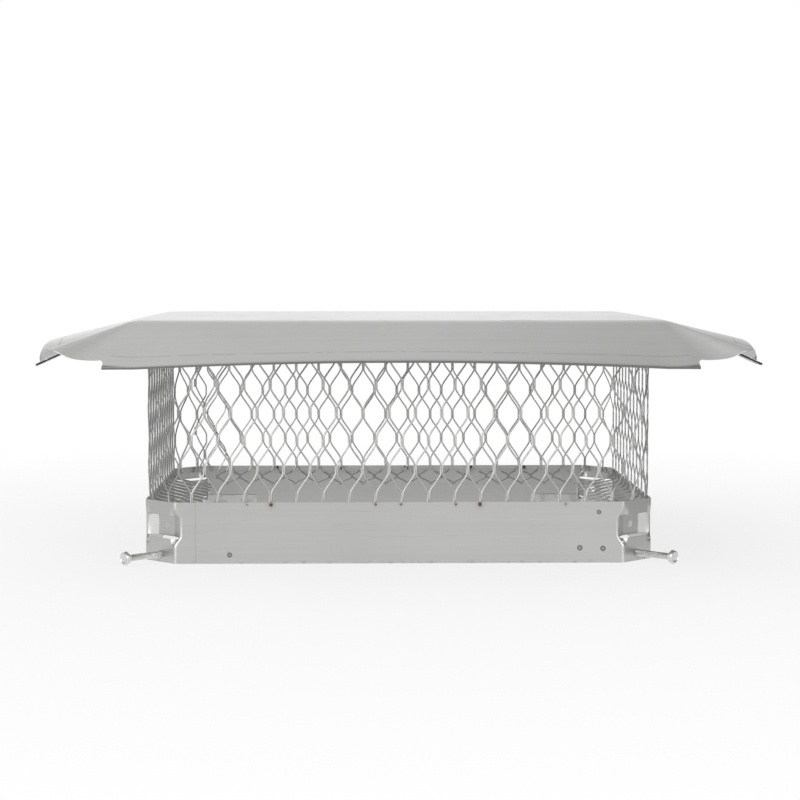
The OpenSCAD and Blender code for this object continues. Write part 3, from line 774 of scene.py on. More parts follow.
class BandShape:
    """The band as one sheet: columns of points round the outline, with a pocket in each corner."""

    bend_steps = 8

    def __init__(self, cap):
        self.cap = cap
        self.points = []
        self.faces = []
        low, high = cap.pocket_z, cap.pocket_z + cap.pocket_height
        slot = cap.pocket_slot
        hole = (cap.bolt_z - 0.0055, cap.bolt_z + 0.0055)
        self.rows = [
            0, *hole, 0.0145, 0.016, 0.018, 0.020, low,
            low + slot, low + slot + 0.002, high - slot - 0.002, high - slot,
            high, high + 0.002, high + 0.004, high + 0.006, high + 0.008, cap.band_height,
        ]
        self.bolt_row = 1
        self.low_slot = self.rows.index(low)
        self.high_slot = self.rows.index(high - slot)
        self.panel_row = self.low_slot + 2
        self.flat_end = 0.009
        self.wall_end = cap.pocket_run + 0.005

    def add(self, point):
        """Keeps a point and returns its number."""
        self.points.append(np.array(point, dtype=float))
        return len(self.points) - 1

    def fill(self, left, right, rows):
        """Faces between two columns."""
        for r in rows:
            self.faces.append((left[r], right[r], right[r + 1], left[r + 1]))

    def half_section(self):
        """Half of a corner from its middle: pairs of points on the plain chamfer and in the pocket."""
        cap = self.cap
        side = cap.chamfer / math.sqrt(2)
        wall = np.array([1.0, 1.0]) / math.sqrt(2)
        edge = np.array([side, 0.0])
        end = edge + wall * cap.pocket_run
        last = edge + wall * self.wall_end
        mid = np.array([cap.pocket_flat / 2, cap.pocket_depth])
        origin = np.array([0.0, cap.pocket_depth])
        first = bend(origin, mid, end, cap.pocket_bend, 4)
        second = bend(mid, end, last, cap.pocket_bend, self.bend_steps)
        corner = bend(np.zeros(2), edge, last, cap.band_radius, self.bend_steps)
        pairs = [(np.array([self.flat_end, 0.0]), np.array([self.flat_end, cap.pocket_depth]))]
        pairs += [(np.array([p[0], 0.0]), p) for p in first]
        for k in range(1, 5):
            t = k / 5
            pairs.append((
                np.array([first[-1][0] + (corner[0][0] - first[-1][0]) * t, 0.0]),
                first[-1] + (second[0] - first[-1]) * t,
            ))
        self.cut_pair = len(pairs)
        pairs += list(zip(corner, second))
        for k in range(1, 4):
            t = k / 3
            pairs.append((corner[-1] + (last - corner[-1]) * t, second[-1] + (last - second[-1]) * t))
        return pairs

    def pushed(self, z):
        """Share by which the sheet beside the pocket follows it at a height."""
        cap = self.cap
        low, high = cap.pocket_z, cap.pocket_z + cap.pocket_height
        full = cap.pocket_slot + 0.002
        return float(smooth((z - (low - 0.007)) / (0.007 + full)) * smooth(((high + 0.007) - z) / (0.007 + full)))

    def corner_column(self, name, plain, pocket, torn, sign):
        """A column of a corner. Torn columns are cut from their neighbours at the two slots."""
        column = []
        for r, z in enumerate(self.rows):
            inside = self.low_slot < r <= self.high_slot
            if not torn:
                share = self.pushed(z)
            elif inside:
                share = 1.0
            else:
                lip = smooth((plain[0] - 0.014) / (self.cut_x - 0.014))
                share = self.pushed(z) * float(lip)
            p = plain + (pocket - plain) * share
            column.append(self.add(from_corner(self.cap, name, (sign * p[0], p[1], z))))
        return column

    def corner(self, name):
        """Columns and faces of a corner; returns its first and last columns."""
        cap = self.cap
        pairs = self.half_section()
        cut = self.cut_pair
        self.cut_x = pairs[cut][0][0]
        numbered = [(k, pairs[k], -1) for k in reversed(range(len(pairs)))]
        numbered += [(k, pairs[k], 1) for k in range(len(pairs))]
        columns = [
            (k, self.corner_column(name, plain, pocket, k < cut, sign)) for k, (plain, pocket), sign in numbered
        ]
        everything = range(len(self.rows) - 1)
        slots = (self.low_slot, self.high_slot)
        along = unit(from_corner(cap, name, (1, 0, 0)) - from_corner(cap, name, (0, 0, 0)))
        for (k, left), (j, right) in zip(columns, columns[1:]):
            rows = list(everything)
            if min(k, j) < cut:
                rows = [r for r in rows if r not in slots]
            if k == j == 0:
                rows = [r for r in rows if r not in (self.bolt_row, self.panel_row)]
                middle = cap.pocket_z + cap.pocket_height / 2
                for row, depth, z, radius in (
                    (self.bolt_row, 0, cap.bolt_z, cap.bolt_hole / 2),
                    (self.panel_row, cap.pocket_depth, middle, cap.pocket_hole / 2),
                ):
                    centre = from_corner(cap, name, (0, depth, z))
                    self.holed(
                        (left[row + 1], right[row + 1]), (left[row], right[row]), centre, along, radius
                    )
            self.fill(left, right, rows)
        return columns[0][1], columns[-1][1]

    def wall(self, first, last, start, end, steps):
        """Flat sheet between two columns, or up to a free end."""
        previous = first
        for k in range(1, steps + 1):
            t = k / steps
            if k == steps and last is not None:
                column = last
            else:
                column = [self.add((*(start(z) + (end(z) - start(z)) * t), z)) for z in self.rows]
            self.fill(previous, column, range(len(self.rows) - 1))
            previous = column

    def seam_edge(self, z, sign):
        """Place of one end of the sheet at the seam, which opens a little halfway up."""
        cap = self.cap
        part = min(max((z - 0.010) / (cap.band_height - 0.010), 0), 1)
        spread = 0.0008 * math.sin(math.pi * part) ** 2
        return -cap.seam_x + (0 if sign > 0 else -cap.seam_gap) + sign * spread / 2

    def build(self):
        """Points and faces of the sheet's outside."""
        cap = self.cap
        y = -cap.band_depth / 2
        ends = {name: self.corner(name) for name in ("fr", "br", "bl", "fl")}

        def at(column):
            p = self.points[column[0]][:2]
            return lambda z: p

        for first, second in (("fr", "br"), ("br", "bl"), ("bl", "fl")):
            a, b = ends[first][1], ends[second][0]
            self.wall(a, b, at(a), at(b), 12)
        right = [self.add((self.seam_edge(z, 1), y, z)) for z in self.rows]
        left = [self.add((self.seam_edge(z, -1), y, z)) for z in self.rows]
        seam = lambda z: np.array([self.seam_edge(z, 1), y])
        self.wall(right, ends["fr"][0], seam, at(ends["fr"][0]), 12)
        start = ends["fl"][1]
        self.wall(start, left, at(start), at(left), 3)
        return self.points, self.faces

    def holed(self, top, bottom, centre, along, radius):
        """A flat cell with a round hole, as four faces from the hole to the cell's sides."""
        steps = 32
        up = np.array([0, 0, 1.0])
        circle = [
            self.add(centre + radius * (math.cos(t) * along + math.sin(t) * up))
            for t in (2 * math.pi * k / steps + math.pi / 4 for k in range(steps))
        ]
        loop = circle + circle[:1]
        part = steps // 4
        corners = (top[1], top[0], bottom[0], bottom[1], top[1])
        for k in range(4):
            arc = loop[k * part:(k + 1) * part + 1]
            self.faces.append((corners[k], corners[k + 1], *reversed(arc)))


def add_sheet(piece, thickness, bevel, inwards=-1):
    """Gives a one-sided sheet its thickness and soft cut edges."""
    solid = piece.modifiers.new("Sheet", "SOLIDIFY")
    solid.thickness = thickness
    solid.offset = inwards
    solid.use_even_offset = True
    soft = piece.modifiers.new("Cut edges", "BEVEL")
    soft.width = bevel
    soft.segments = 2
    soft.limit_method = "ANGLE"
    soft.angle_limit = math.radians(50)
    soft.harden_normals = True


class CAP_OT_band(bpy.types.Operator):
    """Builds the band with its bends, pockets, holes and seam"""

    bl_idname = "cap.band"
    bl_label = "Band"

    def execute(self, context):
        cap = context.scene.chimney_cap
        points, faces = BandShape(cap).build()
        y = -cap.band_depth / 2 + cap.band_sheet + 0.00004
        start = len(points)
        left, right = -cap.seam_x - cap.band_radius, -cap.seam_x + cap.lap
        for k in range(8):
            x = left + (right - left) * k / 7
            points += [np.array([x, y, 0.0]), np.array([x, y, cap.band_height])]
        faces += [
            (start + 2 * k, start + 2 * k + 2, start + 2 * k + 3, start + 2 * k + 1) for k in range(7)
        ]
        band = new_piece("band_sheet", points, faces, "cap", BAND_NODES, sharp=30)
        add_sheet(band, cap.band_sheet, 0.00012)
        cover(band, band_finish(cap))
        return {"FINISHED"}


# Screen


class ScreenShape:
    """Expanded metal as strands that zigzag from knot to knot round the outline and over the folds."""

    def __init__(self, cap):
        self.cap = cap
        corners = chamfered(cap, cap.screen_in + cap.strand_sheet / 2)
        radius = cap.screen_radius - cap.strand_sheet / 2
        outline = []
        for k, b in enumerate(corners):
            outline += bend(corners[k - 1], b, corners[(k + 1) % 8], radius, 14)
        outline = outline[15:] + outline[:15]
        start = np.array([0.0, outline[0][1]])
        first = next(k for k, p in enumerate(outline) if p[0] > 0 and p[1] < 0)
        self.walls = []
        self.outline = outline
        lengths = [0.0]
        for a, b in zip(outline, outline[1:] + outline[:1]):
            lengths.append(lengths[-1] + float(np.linalg.norm(b - a)))
        self.round = lengths[-1]
        front = min(range(len(outline)), key=lambda k: (round(outline[k][1], 6), outline[k][0]))
        half = float(np.linalg.norm(outline[(front + 1) % len(outline)] - outline[front])) / 2
        self.offset = lengths[front] + half
        self.lengths = np.array(lengths)
        self.strands = 2 * round(self.round / cap.mesh_width) - 1
        self.pitch = 2 * self.round / self.strands
        self.joint = self.round / 2 + cap.joint_x
        self.row = cap.mesh_height / 2
        self.top = cap.height - cap.lid_sheet - 0.0001 - cap.root_z
        self.upper_fold = self.top - cap.fold_radius - 0.001
        self.find_walls()

    def find_walls(self):
        """Lengths of strip at which each straight wall starts and ends."""
        points = self.outline + self.outline[:1]
        self.walls = []
        for k in range(len(points) - 1):
            if np.linalg.norm(points[k + 1] - points[k]) > 0.05:
                self.walls.append((self.lengths[k] - self.offset, self.lengths[k + 1] - self.offset))

    def on_outline(self, s):
        """Place and inward direction on the outline after a length of strip from the front's middle."""
        t = (s + self.offset) % self.round
        k = int(np.searchsorted(self.lengths, t, side="right")) - 1
        a = self.outline[k % len(self.outline)]
        b = self.outline[(k + 1) % len(self.outline)]
        d = unit(b - a)
        p = a + d * (t - self.lengths[k])
        previous = self.outline[k - 1]
        later = self.outline[(k + 2) % len(self.outline)]
        part = (t - self.lengths[k]) / max(float(np.linalg.norm(b - a)), 1e-9)
        if np.linalg.norm(b - a) < 0.02:
            d_before, d_after = unit(b - previous), unit(later - a)
            d = unit(d_before * (1 - part) + d_after * part)
        return p, np.array([-d[1], d[0]])

    def in_flange(self, s):
        """Whether a length of strip is within the flange of some wall."""
        gap = self.cap.tab_gap
        s = (s + self.offset) % self.round - self.offset
        return any(a + gap <= s <= b - gap for a, b in self.walls)

    def place(self, s, v, w):
        """Point for a length of strip, a height up the strip and a depth inwards."""
        cap = self.cap
        p, inward = self.on_outline(s)
        r = cap.fold_radius
        if v < r / 2:
            turn = math.pi / 2 - cap.flange_slope
            y, z = self.folded(r / 2 - v, w, r, turn)
            z = r / 2 - z
        elif v > self.upper_fold:
            y, z = self.folded(v - self.upper_fold, w, r, math.pi / 2)
            z = self.upper_fold + z
        else:
            y, z = w, v
        return np.array([p[0] + inward[0] * y, p[1] + inward[1] * y, cap.root_z + z])

    @staticmethod
    def folded(run, w, r, turn):
        """Depth and advance past the start of a fold that turns the strip inwards."""
        arc = r * turn
        if run < arc:
            a = run / r
            return r - (r - w) * math.cos(a), (r - w) * math.sin(a)
        rest = run - arc
        return (
            r - (r - w) * math.cos(turn) + rest * math.sin(turn),
            (r - w) * math.sin(turn) + rest * math.cos(turn),
        )

    def strand_at(self, j, v):
        """Length of strip, side of its knot and share of the way between knots for strand j."""
        cap = self.cap
        first = cap.knot_z - cap.root_z
        row = (v - first) / self.row
        k = math.floor(row)
        part = row - k
        knot_part = cap.knot_length / 2 / self.row
        step = (part - knot_part) / (1 - 2 * knot_part)
        t = min(max(step, 0), 1)
        ease = 0.6 * t + 0.4 * float(smooth(t))
        if (j + k) % 2 == 0:
            here, there = 1, -1
        else:
            here, there = -1, 1
        half = cap.strand / 2 - 0.00003
        column = j * self.pitch / 2 + cap.mesh_shift
        left = column + half
        right = column + self.pitch / 2 - half
        a, b = (left, right) if here > 0 else (right, left)
        return a + (b - a) * ease, here + (there - here) * ease

    def heights(self, low, high):
        """Heights at which a strand gets a section."""
        cap = self.cap
        first = cap.knot_z - cap.root_z
        marks = {low, high}
        knot_half = cap.knot_length / 2
        for k in range(-4, 12):
            middle = first + k * self.row
            for offset in (-knot_half, knot_half):
                marks.add(middle + offset)
            for part in (0.08, 0.25, 0.5, 0.75, 0.92):
                marks.add(middle + knot_half + (self.row - 2 * knot_half) * part)
        for edge in (0, self.upper_fold + cap.fold_radius * 0.8):
            for k in range(-3, 4):
                marks.add(edge + k * 0.0009)
        return sorted(m for m in marks if low <= m <= high)

    def section(self, s, v, side, slant):
        """The strand's bevelled section where it crosses a height, tilted out of the face."""
        cap = self.cap
        tilt = cap.knot_tilt
        half_w, half_t = cap.strand / 2, cap.strand_sheet / 2
        cut = 0.00016
        shape = [
            (half_w, -half_t + cut), (half_w, half_t - cut), (half_w - cut, half_t), (-half_w + cut, half_t),
            (-half_w, half_t - cut), (-half_w, -half_t + cut), (-half_w + cut, -half_t), (half_w - cut, -half_t),
        ]
        depth = -side * half_w * math.sin(tilt) + self.sink(v)
        points = []
        for x, y in shape:
            across = (x * math.cos(tilt) + y * math.sin(tilt)) * math.cos(slant)
            lift = -(x * math.cos(tilt) + y * math.sin(tilt)) * math.sin(slant)
            inwards = -x * math.sin(tilt) + y * math.cos(tilt) + depth
            points.append(self.place(s + across, v + lift, inwards))
        return points

    def sink(self, v):
        """Depth of the strip's middle behind the flat wall, a little more beside the band."""
        return 0.0003 + 0.0004 * float(1 - smooth(v / 0.012)) if v > 0 else 0.0007

    def strand(self, j, low, high, s_shift=0.0, v_shift=0.0, s_range=None, depth=0.0):
        """The swept pieces of strand j between two heights, cut where the sheet is cut."""
        cap = self.cap
        slope = (self.pitch / 2 - cap.strand) / (self.row - cap.knot_length)
        runs, current = [], []
        for v in self.heights(low, high):
            s, side = self.strand_at(j, v - v_shift)
            s += s_shift
            inside = 0 <= v <= self.top - 0.0005 or self.in_flange(s)
            if s_range is not None:
                inside = inside and s_range[0] <= s <= s_range[1]
            if not inside:
                if len(current) > 1:
                    runs.append(current)
                current = []
                continue
            moving = abs(side) < 0.999
            slant = math.atan(slope) * (1 if self.strand_at(j, v - v_shift + 0.0003)[0] > s - s_shift else -1)
            section = self.section(s, v, side, slant if moving else 0.0)
            if depth:
                p, inward = self.on_outline(s)
                section = [q + np.array([*inward, 0]) * depth for q in section]
            current.append(section)
        if len(current) > 1:
            runs.append(current)
        return [sweep(run) for run in runs]

    def overlap(self):
        """The strip's last diamonds, which lie inside its first ones at the back."""
        cap = self.cap
        first, last = self.joint - 0.022, self.joint + 0.024
        j_first = round(first / self.pitch * 2)
        j_last = round(last / self.pitch * 2)
        parts = []
        for j in range(j_first, j_last + 1):
            parts += self.strand(
                j, 0.002, self.upper_fold - 0.001, s_shift=0.0032, v_shift=0.0085,
                s_range=(first, last), depth=0.0016,
            )
        return parts


def screen_finish(cap, name="screen_metal"):
    """Grey stretched metal with cloudy tone, fine grain and small dark pits."""
    material, net = new_material(name)
    place = net.place()
    cloud = net.noise(place, scale=22.0, detail=3.0)
    grain = net.noise(net.stretched(place, (900.0, 900.0, 260.0)), detail=3.0, roughness=0.6)
    pits = net.noise(place, scale=1500.0, detail=2.0).step(0.60, 0.74)
    tone = 1.0 + (cloud - 0.5) * 0.30 + (grain - 0.5) * 0.35 - pits * 0.18
    base = net.shade(tuple(cap.screen_steel), tone)
    roughness = 0.36 + grain * 0.16 + (cloud - 0.5) * 0.12 + pits * 0.1
    metal(net, base, roughness, net.bump(grain * 0.7 - pits * 0.3, 0.00006, 0.7))
    return material


def joined(parts):
    """One list of points and faces from several."""
    points, faces = [], []
    for more_points, more_faces in parts:
        start = len(points)
        points += more_points
        faces += [tuple(k + start for k in face) for face in more_faces]
    return points, faces


class CAP_OT_screen(bpy.types.Operator):
    """Builds the expanded metal screen with its folded flanges and its overlap"""

    bl_idname = "cap.screen"
    bl_label = "Screen"

    def execute(self, context):
        cap = context.scene.chimney_cap
        shape = ScreenShape(cap)
        finish = screen_finish(cap)
        low = -cap.flange
        high = shape.top + cap.top_flange - 0.002
        parts = []
        first = math.ceil((shape.joint - shape.round) / shape.pitch * 2)
        for j in range(first, first + shape.strands):
            parts += shape.strand(j, low, high)
        parts += shape.overlap()
        points, faces = joined(parts)
        screen = new_piece("screen_mesh", points, faces, "cap", ["screen"], sharp=25)
        cover(screen, finish)
        return {"FINISHED"}


# Bolts


def thread_points(cap, turns_from, turns_to, steps=24):
    """Points and faces of a thread along +Y, with a flat crest and a flat root."""
    crest = cap.bolt_size / 2
    root = crest - 0.00061 * cap.bolt_pitch / 0.001
    profile = [(0.0, root), (0.12, root), (0.44, crest), (0.56, crest), (0.88, root), (1.0, root)]
    points, faces = [], []
    total = round((turns_to - turns_from) / cap.bolt_pitch * steps)
    for k in range(total + 1):
        turn = 2 * math.pi * k / steps
        base = turns_from + cap.bolt_pitch * k / steps
        for part, radius in profile:
            y = base + (part - 0.5) * cap.bolt_pitch
            y_held = min(max(y, turns_from), turns_to)
            end = min(1.0, max(0.0, (turns_to - y_held) / 0.0012))
            r = min(radius, root + (crest - root) * end)
            points.append(np.array([r * math.cos(turn), y_held, r * math.sin(turn)]))
    faces = grid_faces(total + 1, len(profile))
    return points, faces


def lathe(profile, steps=36):
    """Points and faces of a turned form along +Y from (radius, place) pairs."""
    points = [
        np.array([r * math.cos(2 * math.pi * k / steps), y, r * math.sin(2 * math.pi * k / steps)])
        for r, y in profile for k in range(steps)
    ]
    faces = [tuple(reversed(face)) for face in grid_faces(len(profile), steps, closed=True)]
    faces.append(tuple(range(steps)))
    faces.append(tuple(reversed(range(len(points) - steps, len(points)))))
    return points, faces


def hex_head(cap, steps=72):
    """A forged hexagon head with chamfered corners, a shallow dish and a washer face."""
    flats, height = cap.head_flats, cap.head_height
    apothem = flats / 2
    rings = []

    def hexagon(y, limit, scale=1.0):
        ring = []
        for k in range(steps):
            a = 2 * math.pi * k / steps
            near = (a + math.pi / 6) % (math.pi / 3) - math.pi / 6
            r = apothem / math.cos(near)
            r = min(r, apothem / math.cos(math.pi / 6) * 0.985)
            r = min(r * scale, limit)
            ring.append(np.array([r * math.cos(a), y, r * math.sin(a)]))
        return ring

    wide = apothem * 1.2
    rings.append(hexagon(-height + 0.00035, apothem * 0.55))
    rings.append(hexagon(-height + 0.00030, apothem * 0.72))
    rings.append(hexagon(-height + 0.00002, apothem * 0.80))
    rings.append(hexagon(-height, apothem * 0.90))
    rings.append(hexagon(-height + 0.00018, apothem * 0.985))
    rings.append(hexagon(-height + 0.00065, apothem * 1.06))
    rings.append(hexagon(-height + 0.00110, apothem * 1.12))
    rings.append(hexagon(-height + 0.0015, wide))
    rings.append(hexagon(-0.0006, wide))
    rings.append(hexagon(-0.00035, apothem * 1.04))
    rings.append(hexagon(-0.00034, apothem * 0.93))
    rings.append(hexagon(0.0, apothem * 0.92))
    rings.append(hexagon(0.0, apothem * 0.4))
    points = [p for ring in rings for p in ring]
    faces = [tuple(reversed(face)) for face in grid_faces(len(rings), steps, closed=True)]
    faces.append(tuple(range(steps)))
    faces.append(tuple(reversed(range(len(points) - steps, len(points)))))
    return points, faces


def bolt_finish(cap):
    """Bright turned steel with small nicks."""
    material, net = new_material("bolt_steel")
    place = net.place()
    cloud = net.noise(place, scale=60.0, detail=3.0)
    grain = net.noise(place, scale=1800.0, detail=3.0, roughness=0.6)
    nick = net.noise(place, scale=420.0, detail=2.0).step(0.64, 0.74)
    tone = 1.0 + (cloud - 0.5) * 0.3 + (grain - 0.5) * 0.2 - nick * 0.25
    base = net.shade(tuple(cap.bolt_steel), tone)
    roughness = 0.15 + grain * 0.10 + (cloud - 0.5) * 0.08 + nick * 0.15
    metal(net, base, roughness, net.bump(grain * 0.6 - nick * 0.4, 0.00004, 0.6))
    return material


class CAP_OT_bolts(bpy.types.Operator):
    """Builds the four clamp bolts with their threads and heads"""

    bl_idname = "cap.bolts"
    bl_label = "Bolts"

    def execute(self, context):
        cap = context.scene.chimney_cap
        finish = bolt_finish(cap)
        root = cap.bolt_size / 2 - 0.00061
        tip = cap.bolt_length
        core = [
            (root * 0.5, 0.0), (cap.bolt_size / 2 - 0.0001, 0.0), (cap.bolt_size / 2 - 0.0001, 0.0022),
            (root + 0.00002, 0.0032), (root + 0.00002, tip - 0.0007), (root - 0.0006, tip), (root * 0.4, tip),
        ]
        for name in CORNERS:
            parts = [lathe(core), thread_points(cap, 0.0029, tip - 0.0004), hex_head(cap)]
            points, faces = joined(parts)
            placed = [
                from_corner(cap, name, (p[0], p[1] - cap.bolt_out, p[2] + cap.bolt_z)) for p in points
            ]
            bolt = new_piece(
                f"bolt_threaded_{name}", placed, faces, f"bolt_{name}", [f"bolt_{name}"], sharp=30
            )
            cover(bolt, finish)
        return {"FINISHED"}


# Brackets, nuts and weld marks


def bracket_finish(cap):
    """Mill-finish strip with soft scale and rub marks."""
    material, net = new_material("bracket_steel")
    place = net.place()
    base, roughness, height = brushed(net, place, tuple(cap.bolt_steel), grain=(60.0, 60.0, 900.0))
    scale = net.noise(place, scale=90.0, detail=4.0).step(0.45, 0.7)
    metal(net, net.shade(base, 0.95 - scale * 0.2), roughness + scale * 0.15, net.bump(height, 0.00005, 0.6))
    return material


def nut_finish(cap):
    """Plain steel with patches of heat tint."""
    material, net = new_material("nut_steel")
    place = net.place()
    cloud = net.noise(place, scale=140.0, detail=3.0)
    grain = net.noise(place, scale=1500.0, detail=2.0)
    tone = 0.9 + (cloud - 0.5) * 0.5 + (grain - 0.5) * 0.2
    base = net.mix(cloud.step(0.45, 0.75) * 0.6, tuple(cap.bolt_steel), tuple(cap.tint))
    metal(net, net.shade(base, tone), 0.35 + cloud * 0.2, net.bump(grain, 0.00004, 0.6))
    return material


def mark_finish(cap):
    """A spot weld's print: a pressed light centre in a dark ring that fades out."""
    material, net = new_material("weld_mark")
    radius = net.axes(net.node("ShaderNodeUVMap", uv_map="mark"))[0]
    rough = net.noise(net.place(), scale=900.0, detail=3.0)
    edge = radius + (rough - 0.5) * 0.12
    ring = edge.step(0.22, 0.46) * (1.0 - edge.step(0.66, 0.92))
    base = net.mix(ring * 0.62, tuple(cap.band_steel), tuple(cap.burn))
    base = net.shade(base, 0.72 + edge.step(0.2, 0.95) * 0.28)
    metal(net, base, 0.34 + ring * 0.25 + rough * 0.06, net.bump(rough, 0.00003, 0.5))
    return material


def mark_places(cap):
    """Place, inward direction and radius of each spot weld's print."""
    y = cap.band_depth / 2
    x = cap.band_length / 2
    front = [(-153, 8, 3.0), (162.5, 13.6, 3.2), (183.4, 13, 3.2), (179.6, 46, 2.6)]
    back = [(-182, 13, 2.5), (-161, 13.4, 2.5), (163, 12.8, 2.5), (184, 13.2, 2.5)]
    ends = [(-122, 13, 2.4), (-105, 13.2, 2.4), (108, 12.8, 2.4), (124, 13.4, 2.4)]
    places = [((a / 1000, -y, b / 1000), (0, 1), r / 1000) for a, b, r in front]
    places += [((a / 1000, y, b / 1000), (0, -1), r / 1000) for a, b, r in back]
    places += [((x, a / 1000, b / 1000), (-1, 0), r / 1000) for a, b, r in ends]
    places += [((-x, a / 1000, b / 1000), (1, 0), r / 1000) for a, b, r in ends]
    return places


class CAP_OT_marks(bpy.types.Operator):
    """Builds the prints of the spot welds and finishes the brackets and nuts"""

    bl_idname = "cap.marks"
    bl_label = "Weld marks and brackets"

    def execute(self, context):
        cap = context.scene.chimney_cap
        rings = [(0.0, 0.03), (0.25, 0.03), (0.45, 0.04), (0.6, 0.09), (0.75, 0.10), (0.9, 0.06), (1.0, 0.01)]
        steps = 28
        points, faces, spread = [], [], []
        for (px, py, pz), (dx, dy), radius in mark_places(cap):
            start = len(points)
            for share_out, proud in rings[1:]:
                for k in range(steps):
                    a = 2 * math.pi * k / steps
                    across = radius * share_out * math.cos(a)
                    up = radius * share_out * math.sin(a)
                    lift = proud / 1000
                    points.append(np.array([
                        px - dx * lift + dy * across, py - dy * lift - dx * across, pz + up
                    ]))
                    spread.append(share_out)
            middle = len(points)
            points.append(np.array([px - dx * 0.00003, py - dy * 0.00003, pz]))
            spread.append(0.0)
            rows = len(rings) - 1
            faces += [face for face in grid_faces(rows, steps, start, closed=True)]
            faces += [(middle, start + (k + 1) % steps, start + k) for k in range(steps)]
        marks = new_piece("weld_marks", points, faces, "cap", sharp=60)
        layer = marks.data.uv_layers.new(name="mark")
        for loop in marks.data.loops:
            layer.data[loop.index].uv = (spread[loop.vertex_index], 0.0)
        cover(marks, mark_finish(cap))
        bracket, nut = bracket_finish(cap), nut_finish(cap)
        for name in CORNERS:
            cover(frame["nodes"][f"corner_bracket_{name}"], bracket)
            cover(frame["nodes"][f"weld_nut_{name}"], nut)
        return {"FINISHED"}


# Stage


def soft_lamp(name, place, target, size, power):
    """A large area lamp that faces a point."""
    lamp = bpy.data.lights.new(name, "AREA")
    lamp.shape = "RECTANGLE"
    lamp.size, lamp.size_y = size
    lamp.energy = power
    holder = bpy.data.objects.new(name, lamp)
    bpy.context.scene.collection.objects.link(holder)
    holder.location = place
    holder.rotation_euler = (Vector(target) - Vector(place)).to_track_quat("-Z", "Y").to_euler()
    return holder


def write_world(scene):
    """A soft room: white to the camera, brightest low down and dimmer overhead for the metal."""
    world = bpy.data.worlds.new("Soft room")
    scene.world = world
    world.use_nodes = True
    net = Net(world.node_tree)
    direction = net.node("ShaderNodeTexCoord", out="Generated")
    x, y, z = net.axes(direction)
    horizon = y.step(0.1, 0.9) * (1.0 - z.step(0.08, 0.5))
    level = 1.08 + horizon * 0.42 - z.step(0.08, 0.6) * 0.28 - z.step(0.6, 1.0) * 0.1
    front = (0.0 - y).step(0.45, 0.98) * z.step(-0.35, 0.0)
    right = x.step(0.04, 0.30) * 0.32 + x.step(0.5, 0.95) * 0.52
    left = (0.0 - x).step(0.55, 0.95) * 0.56
    room = level * (1.0 - front * 0.50) * (1.0 - right - left)
    for toward_x, strength_now in ((-0.70, 3.2), (0.70, 3.0)):
        near = x * toward_x - y * 0.70 + z * 0.12
        room = room + near.step(0.89, 0.975) * strength_now
    camera = net.node("ShaderNodeLightPath", out="Is Camera Ray")
    strength = camera + (1.0 - camera) * room
    back = net.node("ShaderNodeBackground", {"Color": (1.0, 1.0, 1.0, 1.0), "Strength": strength})
    output = net.tree.nodes.new("ShaderNodeOutputWorld")
    net.tree.links.new(back.socket, output.inputs["Surface"])


def floor_finish(cap):
    """A pale matt floor, white where it is far from the cap, that keeps the cap's shadow."""
    material, net = new_material("floor")
    place = net.place()
    x, y, z = net.axes(place)
    speck = net.noise(place, scale=60.0, detail=3.0)
    matt = net.tree.nodes.new("ShaderNodeBsdfDiffuse")
    net.plug(matt.inputs["Color"], net.shade(tuple(cap.floor), 0.99 + speck * 0.02))
    paths = net.tree.nodes.new("ShaderNodeLightPath")
    glossy = Wire(net, paths.outputs["Is Glossy Ray"])
    seen = Wire(net, paths.outputs["Is Camera Ray"]).most(glossy)
    cards = x.step(0.22, 0.5) * 0.50 + (0.0 - x).step(0.22, 0.5) * 0.22
    white = net.node("ShaderNodeEmission", {"Color": net.shade((1.0, 1.0, 1.0), 1.0 - glossy * cards)})
    far = (x * x + y * y).maths("SQRT").step(0.32, 1.15)
    share_white = (0.76 + far * 0.24) * seen
    blend = net.tree.nodes.new("ShaderNodeMixShader")
    net.plug(blend.inputs[0], share_white)
    net.tree.links.new(matt.outputs[0], blend.inputs[1])
    net.tree.links.new(white.socket, blend.inputs[2])
    output = net.tree.nodes.new("ShaderNodeOutputMaterial")
    net.tree.links.new(blend.outputs[0], output.inputs["Surface"])
    return material


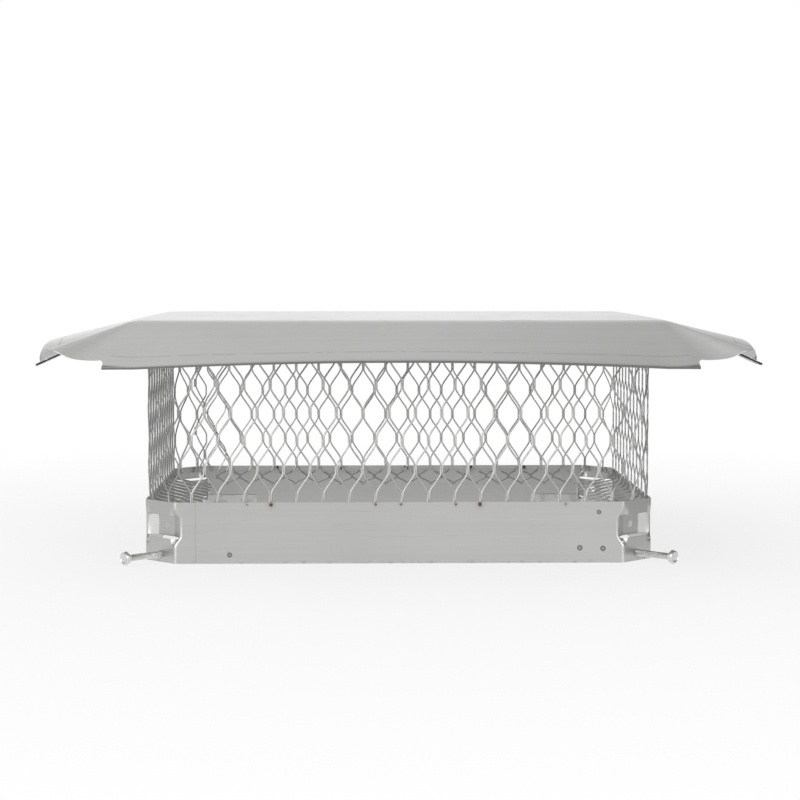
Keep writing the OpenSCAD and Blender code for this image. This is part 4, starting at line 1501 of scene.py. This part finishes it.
class CAP_OT_stage(bpy.types.Operator):
    """Builds the floor, the lamps, the room and the camera"""

    bl_idname = "cap.stage"
    bl_label = "Stage"

    def execute(self, context):
        scene = context.scene
        cap = scene.chimney_cap
        size = 30.0
        mesh = bpy.data.meshes.new("floor")
        mesh.from_pydata(
            [(-size, -size, 0), (size, -size, 0), (size, size, 0), (-size, size, 0)], [], [(0, 1, 2, 3)]
        )
        floor = bpy.data.objects.new("floor", mesh)
        scene.collection.objects.link(floor)
        floor.data.materials.append(floor_finish(cap))
        soft_lamp("Lamp above", (-0.6, -0.6, 2.4), (0, 0, 0.1), (2.2, 2.2), 9)
        write_world(scene)
        camera = bpy.data.cameras.new("Camera")
        camera.lens = cap.camera_lens
        camera.sensor_width = 36
        camera.clip_start = 0.02
        holder = bpy.data.objects.new("Camera", camera)
        scene.collection.objects.link(holder)
        holder.location = (cap.camera_x, cap.camera_y, cap.camera_z)
        holder.rotation_euler = (math.pi / 2 - cap.camera_pitch, 0, -cap.camera_yaw)
        scene.camera = holder
        scene.view_settings.view_transform = "Standard"
        return {"FINISHED"}


class CAP_PT_panel(bpy.types.Panel):
    """Sizes, colours and pieces of the cap"""

    bl_label = "Chimney cap"
    bl_idname = "CAP_PT_panel"
    bl_space_type = "VIEW_3D"
    bl_region_type = "UI"
    bl_category = "Chimney cap"

    def draw(self, context):
        layout = self.layout
        for name in STEPS:
            layout.operator(f"cap.{name}")
        column = layout.column(align=True)
        for name in CapSettings.__annotations__:
            column.prop(context.scene.chimney_cap, name)


STEPS = ("stage", "lid", "band", "screen", "bolts", "marks")
CLASSES = (
    CapSettings, CAP_OT_lid, CAP_OT_band, CAP_OT_screen, CAP_OT_bolts, CAP_OT_marks, CAP_OT_stage,
    CAP_PT_panel,
)


def register():
    """Adds the settings, the operators and the panel."""
    for item in CLASSES:
        bpy.utils.register_class(item)
    bpy.types.Scene.chimney_cap = PointerProperty(type=CapSettings)


def unregister():
    """Takes them away again."""
    del bpy.types.Scene.chimney_cap
    for item in reversed(CLASSES):
        bpy.utils.unregister_class(item)


def main():
    """Builds everything round the frame."""
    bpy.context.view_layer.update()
    register()
    for name in STEPS:
        getattr(bpy.ops.cap, name)()


if __name__ == "__main__":
    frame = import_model()
    main()
